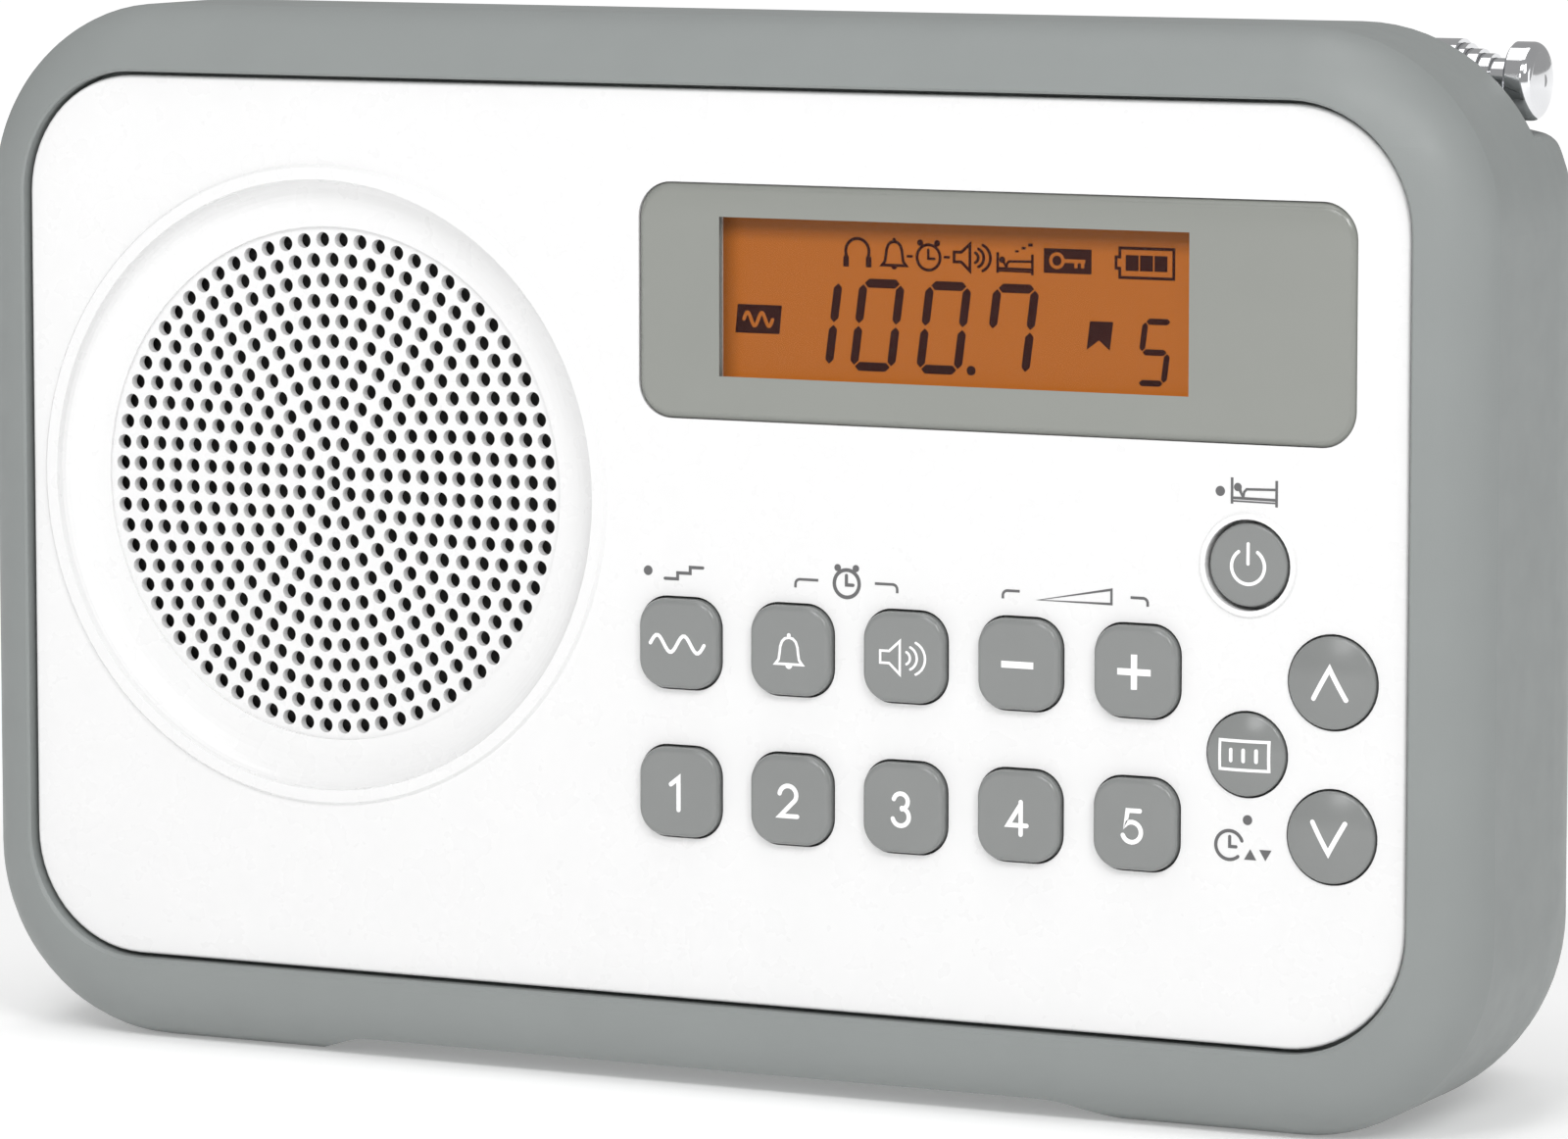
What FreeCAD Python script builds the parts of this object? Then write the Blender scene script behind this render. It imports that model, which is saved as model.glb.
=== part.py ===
import FreeCAD, Part
import math
import os

from FreeCAD import Vector

os.makedirs("parts", exist_ok=True)

# A portable tabletop radio. Millimetres, +Z up, the front face looks along -Y.
# Origin: centre of the box on the surface that the feet stand on.

# ---- Case ----
HALF_WIDTH = 95.0
HEIGHT = 122.5
CORNER_R = 22.5
FRONT_Y = -29.0
REAR_Y = 29.0
SPLIT_Y = -3.8            # joint between front frame and rear shell
FOOT_H = 2.3              # the underside between the feet is this much higher
FOOT_IN = 44.6            # inner end of a foot's slope
FOOT_OUT = 51.7           # where the slope meets the foot's sole
FOOT_ROUND = 12.0         # rounding where the slope meets the underside
RAIL_OUT = 76.0           # outer side of the sole on the rear shell
RAIL_END_Y = 18.0
WALL = 2.2
LIP_R = 9.0               # rounding of the frame's front edge
LIP_ANGLE = 80.0          # the rounding stops short of the side, at a soft crease
TOP_EDGE_R = 2.0          # rear edge of the frame above the antenna step
STEP_Z = 110.0            # floor of the antenna step
STEP_EDGE_R = 2.5
REAR_CURVE_Y = -3.3       # where the rear shell's side starts to curve in
REAR_CURVE_R = 25.0
REAR_SLOPE = 30.0
REAR_EDGE_R = 8.0
LAP = 2.4                 # tongue of the rear shell inside the frame
LAP_GAP = 0.15

# ---- Front panel ----
PANEL_Z = 62.5            # height of the panel's centre
PANEL_Y = -27.8           # its front face
PANEL_T = 2.2
PANEL_HALF_W = 87.0
PANEL_HALF_H = 51.9
PANEL_R = 14.0
PANEL_GAP = 0.45
FLANGE_W = 3.0            # frame flange behind the panel
FLANGE_T = 1.6
PANEL_BACK = PANEL_Y + PANEL_T
STUD_X = 50.0             # heat-staked studs that hold the panel in the frame
STUD_Z = 20.0
FLANGE_BACK = PANEL_BACK + 0.1 + FLANGE_T

# ---- Loudspeaker ----
SPK_X = -47.9
SPK_Z = PANEL_Z + 4.8
RIM_R = 37.0
RIM_IN_R = 35.6
RIM_H = 0.45
DISH_R = 30.0             # inner edge of the dish
DISH_DEPTH = 2.4
SPK_SEAT_Y = -23.4        # back of the ring that the loudspeaker is screwed to
SPK_SEAT_R = 35.8
GRILLE_R = 30.9
GRILLE_T = 1.1
GRILLE_Y = PANEL_Y + DISH_DEPTH + 0.4
GRILLE_RINGS = 12
GRILLE_PITCH = 2.37
GRILLE_HOLE_R = 0.87
BASKET_R = 33.5
BASKET_Y = SPK_SEAT_Y + 0.9
CAN_Y = -11.0             # bottom of the basket

# ---- Display, measured from the panel's centre ----
WINDOW_X = (-6.4, 80.8)
WINDOW_Z = (14.7, 41.3)
WINDOW_R = 4.0
WINDOW_PROUD = 0.2
POCKET_DEPTH = 1.3
MASK_T = 0.2
MASK_GAP = 0.02           # adhesive between window and mask
VIEW_X = (3.5, 61.5)
VIEW_Z = (19.2, 37.6)
LCD_X = (1.6, 63.4)
LCD_Z = (17.6, 39.4)
LCD_FRONT = PANEL_BACK + 0.1
GLASS_T = 1.4
GUIDE_T = 1.2

# ---- Keys ----
KEY_W = 9.95
KEY_H = 10.2
KEY_R = 3.2
KEY_EDGE = 0.6            # rounding of a square key's front edge
KEY_GAP = 0.25
KEY_TRAVEL = 0.8
KEY_FRONT = -28.95
KEY_LIP = 0.8             # flange of a key behind the panel
KEY_FLANGE_T = 0.8
KEY_X0 = -1.1
KEY_PITCH = 14.1
ROW_1 = -11.0
ROW_2 = -28.0
TUNE_X = 78.4
TUNE_R = 5.1
SIDE_X = 68.35
DISPLAY_R = 4.6
POWER_R = 4.6
CROWN = 0.75              # rise of a domed key
POWER_CROWN = 0.1
POWER_Z = 1.4
POWER_GAP = 0.45
POWER_FRONT = -27.95
POWER_RIM_R = 5.95
POWER_RIM_H = 0.3

# ---- Main board and what lies between it and the panel ----
BOARD_Y = -22.6
BOARD_T = 1.6
BOARD_BACK = BOARD_Y + BOARD_T
BOARD_X = (-9.0, 83.0)
BOARD_Z = (-44.0, 49.0)
MAT_T = 1.0
MAT_Y = BOARD_Y - MAT_T
DOME_R = 3.0
DOME_TOP = PANEL_BACK + 0.05 + KEY_FLANGE_T + KEY_TRAVEL + 0.05

# ---- Antenna ----
ANT_X = -80.0             # axis of the swivel and of the elbow pin
ANT_Y = 3.2
ANT_Z = 115.8
TUBE_R = (4.6, 4.1, 3.5, 3.0, 2.5)
TUBE_WALL = 0.25
TUBE_START = (-69.0, -64.0, -61.0, -58.0, -55.0)
TUBE_MOUTH = (81.0, 81.9, 83.4, 84.8, 87.1)
COLLAR_L = 3.0
ROLL_L = 0.8
RUN_FIT = 0.05
FORK_GAP = 4.2
EAR_T = 2.0
PIN_R = 1.0
TIP_R = 4.4
TIP_L = 2.1               # straight part of the tip's rim
TIP_ROUND = 1.1
TIP_CROWN = 0.3
TIP_PLUG = 4.0            # how far the tip goes into the last tube

# ---- Ferrite rod ----
ROD_R = 4.5
ROD_Y = -13.4
ROD_Z = 104.0
ROD_X = (-6.0, 76.0)
COIL_X = (18.0, 56.0)
COIL_R = 5.7
CLIP_X = (4.0, 68.0)

# ---- Batteries and their door ----
CELL_R = 7.1
CELL_L = 50.4
CELL_Y = 18.9
CELL_Z = (34.1, 49.9)
BAY_X = 52.9
BAY_Z = (26.3, 57.7)
BAY_Y = (11.0, 26.8)
BAY_WALL = 1.6
DOOR_X = 55.0
DOOR_TOP = 59.5
DOOR_GAP = 0.4
HINGE_Z = 25.6
HINGE_R = 1.05
HINGE_Y = REAR_Y - HINGE_R
HINGE_PIN_R = 0.7

# ---- Left side: sockets and the lock switch, all at one depth ----
SIDE_Y = -12.6
LOCK_Z = 54.0
PHONES_Z = 42.0
DC_Z = 30.5
SIDE_WALL_X = -HALF_WIDTH + WALL
JACK_BOARD_X = -81.0
JACK_BOARD_T = 1.6
PHONES_BORE_R = 1.8
DC_BORE_R = 2.9

# ---- Screws ----
BOSS_R = 3.6
CASE_SCREWS = [(-88.5, 22.0), (88.5, 22.0), (-88.5, 98.0), (88.5, 98.0), (-34.0, 8.6), (34.0, 8.6)]
BOARD_SCREWS = [(-6.0, -41.0), (80.0, -41.0), (-6.0, 11.2), (80.0, 11.2), (-3.0, 45.8), (76.5, 44.5)]
SPEAKER_SCREW_R = 36.3
SCREW_R = 1.45


# ---------------------------------------------------------------- helpers

def box(x0, x1, y0, y1, z0, z1):
    return Part.makeBox(x1 - x0, y1 - y0, z1 - z0, Vector(x0, y0, z0))


def cyl_y(x, z, r, y0, y1):
    return Part.makeCylinder(r, y1 - y0, Vector(x, y0, z), Vector(0, 1, 0))


def cyl_x(y, z, r, x0, x1):
    return Part.makeCylinder(r, x1 - x0, Vector(x0, y, z), Vector(1, 0, 0))


def cyl_z(x, y, r, z0, z1):
    return Part.makeCylinder(r, z1 - z0, Vector(x, y, z0))


def tube_x(y, z, r_out, r_in, x0, x1):
    return cyl_x(y, z, r_out, x0, x1).cut(cyl_x(y, z, r_in, x0 - 1, x1 + 1))


def joined(shapes):
    """One clean solid from overlapping or touching shapes."""
    return shapes[0].multiFuse(shapes[1:]).removeSplitter()


def rounded_outline(x0, x1, z0, z1, r, y):
    """Closed wire of a rounded rectangle in the plane y."""
    k = r * (1 - math.sqrt(0.5))
    arcs = [
        ((x1 - r, z1), (x1 - k, z1 - k), (x1, z1 - r)),
        ((x1, z0 + r), (x1 - k, z0 + k), (x1 - r, z0)),
        ((x0 + r, z0), (x0 + k, z0 + k), (x0, z0 + r)),
        ((x0, z1 - r), (x0 + k, z1 - k), (x0 + r, z1)),
    ]
    edges = []
    for i, arc in enumerate(arcs):
        a, b, c = [Vector(px, y, pz) for px, pz in arc]
        nx, nz = arcs[(i + 1) % 4][0]
        edges.append(Part.Arc(a, b, c).toShape())
        edges.append(Part.makeLine(c, Vector(nx, y, nz)))
    return Part.Wire(edges)


def slab(x0, x1, z0, z1, r, y0, y1):
    """Rounded rectangle, extruded along Y from y0 to y1."""
    return Part.Face(rounded_outline(x0, x1, z0, z1, r, y0)).extrude(Vector(0, y1 - y0, 0))


def front_edges(solid, y):
    """Edges of a solid that lie in the plane y."""
    return [e for e in solid.Edges if abs(e.BoundBox.YMin - y) < 1e-4 and abs(e.BoundBox.YMax - y) < 1e-4]


def turned(axis_x, axis_z, points):
    """Solid of revolution about a line along Y. Points are (radius, y)."""
    corners = [Vector(axis_x + r, y, axis_z) for r, y in points]
    face = Part.Face(Part.makePolygon(corners + corners[:1]))
    return face.revolve(Vector(axis_x, 0, axis_z), Vector(0, 1, 0), 360)


def arc_step(centre, radius, start, end):
    """Arc step of a profile: centre is (s, y), angles run from the front (-Y) to the outside."""
    def at(angle):
        a = math.radians(angle)
        return (centre[0] + radius * math.sin(a), centre[1] - radius * math.cos(a))
    return [at((start + end) / 2), at(end)]


def profile_face(start, steps, centre, direction):
    """Face in the plane through Y and direction. A step is one (s, y) point for a line, two for an arc."""
    def place(p):
        return Vector(centre[0] + direction[0] * p[0], p[1], centre[1] + direction[1] * p[0])
    edges = []
    here = place(start)
    for step in steps:
        points = [place(p) for p in step]
        if len(points) == 2:
            edges.append(Part.Arc(here, points[0], points[1]).toShape())
        else:
            edges.append(Part.makeLine(here, points[0]))
        here = points[-1]
    edges.append(Part.makeLine(here, place(start)))
    return Part.Face(Part.Wire(edges))


def swept_body(floor_z, start, steps):
    """Solid whose edge profile runs all round the case's outline, with its lowest line at floor_z.

    s is the distance outward from the rectangle that joins the corners' centres."""
    cx = HALF_WIDTH - CORNER_R
    low = floor_z + CORNER_R
    high = HEIGHT - CORNER_R
    corners = [(cx, high), (-cx, high), (-cx, low), (cx, low)]
    ways = [(1, 0), (0, 1), (-1, 0), (0, -1)]
    solids = [box(-cx, cx, start[1], steps[-1][-1][1], low, high)]
    for i, centre in enumerate(corners):
        corner = profile_face(start, steps, centre, ways[i])
        solids.append(corner.revolve(Vector(centre[0], 0, centre[1]), Vector(0, -1, 0), 90))
        after = corners[(i + 1) % 4]
        side = profile_face(start, steps, centre, ways[(i + 1) % 4])
        solids.append(side.extrude(Vector(after[0] - centre[0], 0, after[1] - centre[1])))
    return joined(solids)


def recess():
    """Space under the case between the feet. Its ends slope down to the feet's soles."""
    slope = (FOOT_OUT - FOOT_IN) / FOOT_H
    below = 1.0
    end = FOOT_OUT + slope * below
    outline = [(-end, -below), (-FOOT_IN, FOOT_H), (FOOT_IN, FOOT_H), (end, -below)]
    corners = [Vector(x, FRONT_Y - 1, z) for x, z in outline]
    space = Part.Face(Part.makePolygon(corners + corners[:1])).extrude(Vector(0, REAR_Y - FRONT_Y + 2, 0))
    upper = [e for e in space.Edges if e.BoundBox.ZMin > FOOT_H - 0.01 and e.BoundBox.XLength < 0.01]
    return space.makeFillet(FOOT_ROUND, upper)


def case_body(start, steps):
    """Body with the profile all round, standing on two feet."""
    return swept_body(0, start, steps).cut(recess())


def above_step(y0):
    """Everything over the antenna step, from y0 back."""
    side = HALF_WIDTH + 5
    return box(-side, side, y0, REAR_Y + 5, STEP_Z, HEIGHT + 5)


def helix_spring(y, z, x0, x1, radius, wire_r, turns):
    """Compression spring along X, with wire centred on a helix."""
    length = x1 - x0 - 2 * wire_r
    helix = Part.makeHelix(length / turns, length, radius)
    ring = Part.Wire(Part.makeCircle(wire_r, Vector(radius, 0, 0), Vector(0, 1, 0)))
    coil = Part.Wire(helix).makePipeShell([ring], True, True)
    coil.rotate(Vector(0, 0, 0), Vector(0, 1, 0), 90)
    coil.translate(Vector(x0 + wire_r, y, z))
    return coil


def lead(points, radius):
    """Insulated wire: straight runs joined by tangent arcs through a list of (x, y, z) points."""
    route = [Vector(*p) for p in points]
    edges = []
    here = route[0]
    for a, b, c in zip(route, route[1:], route[2:]):
        back = (a - b).normalize()
        ahead = (c - b).normalize()
        trim = 0.45 * min((a - b).Length, (c - b).Length)
        half_turn = (math.pi - back.getAngle(ahead)) / 2
        bend_r = trim / math.tan(half_turn)
        first = b + back * trim
        last = b + ahead * trim
        inward = (back + ahead).normalize()
        middle = b + inward * (bend_r / math.cos(half_turn) - bend_r)
        edges.append(Part.makeLine(here, first))
        edges.append(Part.Arc(first, middle, last).toShape())
        here = last
    edges.append(Part.makeLine(here, route[-1]))
    start_way = (route[1] - route[0]).normalize()
    ring = Part.Wire(Part.makeCircle(radius, route[0], start_way))
    return Part.Wire(edges).makePipeShell([ring], True, False)


# ---------------------------------------------------------------- case

def frame_profile(rear_round):
    """Edge profile of the front frame, from the crest of its lip back to the split."""
    centre = (CORNER_R - LIP_R * math.sin(math.radians(LIP_ANGLE)), FRONT_Y + LIP_R)
    lip = arc_step(centre, LIP_R, 0, LIP_ANGLE)
    steps = [[(centre[0], FRONT_Y)], lip]
    if rear_round:
        edge = arc_step((CORNER_R - rear_round, SPLIT_Y - rear_round), rear_round, 90, 180)
        steps += [[(CORNER_R, SPLIT_Y - rear_round)], edge]
    else:
        steps.append([(CORNER_R, SPLIT_Y)])
    steps.append([(0, SPLIT_Y)])
    return (0, FRONT_Y), steps


def rear_profile(inset):
    """Edge profile of the rear shell, inset from its outside by a wall."""
    slope = math.radians(REAR_SLOPE)
    outer = CORNER_R - inset
    curve = (CORNER_R - REAR_CURVE_R, REAR_CURVE_Y)
    edge_y = REAR_Y - REAR_EDGE_R
    edge_at = edge_y + REAR_EDGE_R * math.sin(slope)
    curve_end = (
        curve[0] + REAR_CURVE_R * math.cos(slope),
        curve[1] + REAR_CURVE_R * math.sin(slope),
    )
    fall = (edge_at - curve_end[1]) * math.tan(slope)
    edge = (curve_end[0] - fall - REAR_EDGE_R * math.cos(slope), edge_y)
    start = (0, SPLIT_Y)
    steps = [
        [(outer, SPLIT_Y)],
        [(outer, REAR_CURVE_Y)],
        arc_step(curve, REAR_CURVE_R - inset, 90, 90 + REAR_SLOPE),
        [arc_step(edge, REAR_EDGE_R - inset, 90, 90 + REAR_SLOPE)[1]],
        arc_step(edge, REAR_EDGE_R - inset, 90 + REAR_SLOPE, 180),
        [(0, REAR_Y - inset)],
    ]
    return start, steps


def cavity_slab(gap, y0, y1):
    """Space inside the frame's walls, less a gap."""
    w = HALF_WIDTH - WALL - gap
    low = FOOT_H + WALL + gap
    return slab(-w, w, low, HEIGHT - WALL - gap, CORNER_R - WALL - gap, y0, y1)


def panel_slab(gap, y0, y1):
    """The panel's outline, grown by a gap."""
    w = PANEL_HALF_W + gap
    h = PANEL_HALF_H + gap
    return slab(-w, w, PANEL_Z - h, PANEL_Z + h, PANEL_R + gap, y0, y1)


def side_cuts():
    """Holes in the frame's left side for the lock slider and the two sockets."""
    x0 = -HALF_WIDTH - 1
    return [
        box(x0, -HALF_WIDTH + 1.3, SIDE_Y - 3.4, SIDE_Y + 3.4, LOCK_Z - 5.4, LOCK_Z + 5.4),
        box(x0, SIDE_WALL_X + 1, SIDE_Y - 1.3, SIDE_Y + 1.3, LOCK_Z - 3.3, LOCK_Z + 3.3),
        cyl_x(SIDE_Y, PHONES_Z, 3.1, x0, SIDE_WALL_X + 1),
        cyl_x(SIDE_Y, DC_Z, 4.1, x0, SIDE_WALL_X + 1),
    ]


def front_frame():
    lower = case_body(*frame_profile(0)).cut(above_step(FRONT_Y - 5))
    upper = swept_body(0, *frame_profile(TOP_EDGE_R)).common(above_step(FRONT_Y - 5))
    body = joined([lower, upper])
    body = body.cut(panel_slab(PANEL_GAP, FRONT_Y - 1, PANEL_BACK + 0.1))
    body = body.cut(panel_slab(-FLANGE_W, FRONT_Y, FLANGE_BACK + 1))
    body = body.cut(cavity_slab(0, FLANGE_BACK, SPLIT_Y + 1))
    body = body.cut(lip_bevel())
    body = body.cut(Part.makeCompound([tune_key_relief(z) for z in (ROW_1, ROW_2)]))
    bosses = [cyl_y(x, z, BOSS_R, FLANGE_BACK - 0.5, SPLIT_Y - LAP - 0.2) for x, z in CASE_SCREWS]
    body = joined([body] + bosses)
    holes = [cyl_y(x, z, SCREW_R + 0.05, -18.5, SPLIT_Y) for x, z in CASE_SCREWS]
    studs = [cyl_y(x, z, 1.3, PANEL_BACK, FLANGE_BACK + 0.1) for x, z in stud_places()]
    return body.cut(Part.makeCompound(holes + studs + side_cuts()))


def lip_bevel():
    """Cutter that breaks the sharp inner edge of the lip."""
    back = FRONT_Y + 0.4
    cutter = panel_slab(PANEL_GAP + 0.9, back - 2, back)
    return cutter.makeChamfer(0.9, front_edges(cutter, back))


def tune_key_relief(z):
    """Scallop in the flange behind the panel that clears a tuning key's flange."""
    return cyl_y(TUNE_X, PANEL_Z + z, TUNE_R + KEY_LIP + 0.4, PANEL_BACK, FLANGE_BACK + 1)


def stud_places():
    """Where the panel's studs pass through the frame's flange."""
    x = PANEL_HALF_W - 1.6
    z = PANEL_HALF_H - 1.6
    upright = [(side * x, PANEL_Z + h) for side in (-1, 1) for h in (-STUD_Z, STUD_Z)]
    level = [(w, PANEL_Z + side * z) for side in (-1, 1) for w in (-STUD_X, STUD_X)]
    return upright + level


def battery_bay():
    """Walls of the battery bay with the ledge that the door closes on, and the space inside them."""
    x = BAY_X + BAY_WALL
    tray = box(-x, x, BAY_Y[0] - BAY_WALL, BAY_Y[1], BAY_Z[0] - BAY_WALL, BAY_Z[1] + BAY_WALL)
    ledge = box(-DOOR_X - 2.4, DOOR_X + 2.4, BAY_Y[1] - BAY_WALL, BAY_Y[1], HINGE_Z - 3.4, DOOR_TOP + 2.4)
    walls = joined([tray, ledge])
    inside = box(-BAY_X, BAY_X, BAY_Y[0], REAR_Y + 1, BAY_Z[0], BAY_Z[1])
    return walls, inside


def door_opening():
    x = DOOR_X + DOOR_GAP
    low = HINGE_Z - HINGE_R - DOOR_GAP
    return box(-x, x, BAY_Y[1], REAR_Y + 1, low, DOOR_TOP + DOOR_GAP)


def rear_rails():
    """Feet on the rear shell: soles that run back where the shell's underside curves up."""
    rails = []
    for x0, x1 in ((-RAIL_OUT, -FOOT_OUT), (FOOT_OUT, RAIL_OUT)):
        rail = box(x0, x1, SPLIT_Y, RAIL_END_Y, 0, 12.0)
        sole = [e for e in rail.Edges if e.BoundBox.ZMax < 0.01 and e.BoundBox.YMax > SPLIT_Y + 0.01]
        rails.append(rail.makeFillet(1.5, sole))
    return rails


def rear_shell():
    outer = case_body(*rear_profile(0)).cut(above_step(SPLIT_Y - 1))
    rim = [e for e in outer.Edges if e.BoundBox.ZMin > STEP_Z - 1e-3 and e.BoundBox.YMax > SPLIT_Y + 0.01]
    outer = outer.makeFillet(STEP_EDGE_R, rim)
    outer = joined([outer] + rear_rails())
    start, steps = rear_profile(WALL)
    cavity = swept_body(FOOT_H, start, steps)
    cavity = cavity.cut(above_step(SPLIT_Y - 1).translated(Vector(0, 0, -WALL)))
    shell = outer.cut(cavity)
    tongue = cavity_slab(LAP_GAP, SPLIT_Y - LAP, SPLIT_Y)
    upstand = tongue.common(above_step(FRONT_Y).translated(Vector(0, 0, -4)))
    tongue = tongue.cut(cavity_slab(2.0, SPLIT_Y - LAP - 1, SPLIT_Y + 1))
    link = box(-78, 78, SPLIT_Y - LAP, SPLIT_Y + 1, STEP_Z - WALL, STEP_Z)
    reach = outer_reach(outer)
    tubes = [cyl_y(x, z, BOSS_R + 0.6, SPLIT_Y - LAP, REAR_Y).common(reach) for x, z in CASE_SCREWS]
    walls, inside = battery_bay()
    shell = joined([shell, tongue, upstand, link, walls, antenna_socket(), antenna_rest()] + tubes)
    cuts = [inside, door_opening()]
    cuts += [cyl_y(x, z, SCREW_R + 0.25, SPLIT_Y - LAP - 1, REAR_Y) for x, z in CASE_SCREWS]
    cuts += [cyl_y(x, z, 3.3, 3.0, REAR_Y) for x, z in CASE_SCREWS]
    cuts += [cyl_x(HINGE_Y, HINGE_Z, HINGE_PIN_R + 0.06, -DOOR_X - 2.0, DOOR_X + 2.0)]
    cuts += [cyl_z(ANT_X, ANT_Y, 3.05, 100, 120)]
    cuts += [contact_slot(end, row) for end in (-1, 1) for row in (0, 1)]
    return shell.cut(Part.makeCompound(cuts))


def outer_reach(outer):
    """The rear shell's outside with the part inside the frame, which screw tubes stay within."""
    return joined([outer, cavity_slab(LAP_GAP, SPLIT_Y - LAP, SPLIT_Y + 0.5)])


def antenna_socket():
    """Thick round seat under the step that the antenna's swivel stands in."""
    return cyl_z(ANT_X, ANT_Y, 6.0, STEP_Z - 5.0, STEP_Z)


def antenna_rest():
    """Saddle on the step that the folded antenna lies on, near its free end."""
    top = ANT_Z - TUBE_R[0] - 0.1
    rest = box(58, 62, ANT_Y - 2.5, ANT_Y + 2.5, STEP_Z - 0.5, top)
    return rest


def contact_slot(end, row):
    """Slot in the bay's front wall for the tail of a battery contact."""
    x = end * (BAY_X - 0.2)
    return box(x - 0.3, x + 0.3, BAY_Y[0] - BAY_WALL - 1, BAY_Y[0] + 1, CELL_Z[row] - 1.6, CELL_Z[row] + 1.6)


# ---------------------------------------------------------------- front panel

def key_places():
    """Name, x and height of each square key, from the panel's centre."""
    row_1 = ["key_band", "key_alarm_buzzer", "key_alarm_radio", "key_volume_down", "key_volume_up"]
    keys = []
    for i, name in enumerate(row_1):
        x = KEY_X0 + KEY_PITCH * i
        keys.append((name, x, PANEL_Z + ROW_1))
        keys.append(("key_preset_%d" % (i + 1), x, PANEL_Z + ROW_2))
    return keys


def round_key_places():
    """Name, x, height and radius of each domed round key."""
    return [
        ("key_tune_up", TUNE_X, PANEL_Z + ROW_1, TUNE_R),
        ("key_tune_down", TUNE_X, PANEL_Z + ROW_2, TUNE_R),
        ("key_display", SIDE_X, PANEL_Z + (ROW_1 + ROW_2) / 2, DISPLAY_R),
    ]


def key_centres():
    centres = [(x, z) for _, x, z in key_places()]
    centres += [(x, z) for _, x, z, _ in round_key_places()]
    centres.append((SIDE_X, PANEL_Z + POWER_Z))
    return centres


def square_slab(x, z, grow, y0, y1):
    w = KEY_W / 2 + grow
    h = KEY_H / 2 + grow
    return slab(x - w, x + w, z - h, z + h, KEY_R + grow, y0, y1)


def speaker_ring():
    """Rim, dish and rear seat round the grille, as one turned piece."""
    front = PANEL_Y
    wall = RIM_IN_R - DISH_R
    dish = []
    steps = 10
    for i in range(steps + 1):
        t = i / steps
        depth = (DISH_DEPTH + RIM_H) * math.sin(math.pi / 2 * t) ** 0.62
        dish.append((RIM_IN_R - wall * t ** 1.7, front - RIM_H + depth))
    rim = RIM_R + 0.35
    points = [(SPK_SEAT_R, PANEL_BACK), (rim, PANEL_BACK), (rim, front), (RIM_R, front - RIM_H)] + dish
    points += [
        (DISH_R, GRILLE_Y),
        (GRILLE_R + 0.1, GRILLE_Y),
        (GRILLE_R + 0.1, SPK_SEAT_Y),
        (SPK_SEAT_R, SPK_SEAT_Y),
    ]
    return turned(SPK_X, SPK_Z, points)


def window_slab(grow, y0, y1):
    x0, x1 = WINDOW_X
    z0, z1 = WINDOW_Z
    return slab(x0 - grow, x1 + grow, PANEL_Z + z0 - grow, PANEL_Z + z1 + grow, WINDOW_R + grow, y0, y1)


def view_box(grow, y0, y1):
    x0, x1 = VIEW_X
    z0, z1 = VIEW_Z
    return box(x0 - grow, x1 + grow, y0, y1, PANEL_Z + z0 - grow, PANEL_Z + z1 + grow)


def front_panel():
    plate = panel_slab(0, PANEL_Y, PANEL_BACK)
    plate = plate.makeFillet(0.4, front_edges(plate, PANEL_Y))
    plate = plate.cut(cyl_y(SPK_X, SPK_Z, RIM_R, PANEL_Y - 1, PANEL_BACK + 1))
    power_rim = turned(SIDE_X, PANEL_Z + POWER_Z, [
        (POWER_R + POWER_GAP, PANEL_Y - POWER_RIM_H),
        (POWER_RIM_R - 0.3, PANEL_Y - POWER_RIM_H),
        (POWER_RIM_R, PANEL_Y + 0.2),
        (POWER_R + POWER_GAP, PANEL_Y + 0.2),
    ])
    studs = [cyl_y(x, z, 1.2, PANEL_BACK - 0.2, FLANGE_BACK + 0.3) for x, z in stud_places()]
    heads = [cyl_y(x, z, 1.9, FLANGE_BACK + 0.05, FLANGE_BACK + 0.7) for x, z in stud_places()]
    posts = [cyl_y(x, PANEL_Z + z, 2.4, PANEL_BACK - 0.2, BOARD_Y) for x, z in BOARD_SCREWS]
    ears = [cyl_y(x, z, 2.6, PANEL_BACK - 0.2, SPK_SEAT_Y + 1.4) for x, z in speaker_screw_places()]
    plate = joined([plate, speaker_ring(), power_rim] + studs + heads + posts + ears)
    cuts = [window_slab(0.1, PANEL_Y - 1, PANEL_Y + POCKET_DEPTH)]
    cuts.append(view_box(0.4, PANEL_Y, PANEL_BACK + 1))
    cuts += [square_slab(x, z, KEY_GAP, PANEL_Y - 1, PANEL_BACK + 1) for _, x, z in key_places()]
    cuts += [cyl_y(x, z, r + KEY_GAP, PANEL_Y - 1, PANEL_BACK + 1) for _, x, z, r in round_key_places()]
    cuts.append(cyl_y(SIDE_X, PANEL_Z + POWER_Z, POWER_R + POWER_GAP, PANEL_Y - 1, PANEL_BACK + 1))
    cuts += [cyl_y(x, PANEL_Z + z, 1.05, PANEL_BACK + 0.3, BOARD_Y + 1) for x, z in BOARD_SCREWS]
    cuts += [cyl_y(x, z, 1.05, PANEL_BACK + 0.4, SPK_SEAT_Y + 2) for x, z in speaker_screw_places()]
    cuts.append(cyl_y(SPK_X, SPK_Z, BASKET_R + 0.2, SPK_SEAT_Y, SPK_SEAT_Y + 2))
    return plate.cut(Part.makeCompound(cuts))


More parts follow.
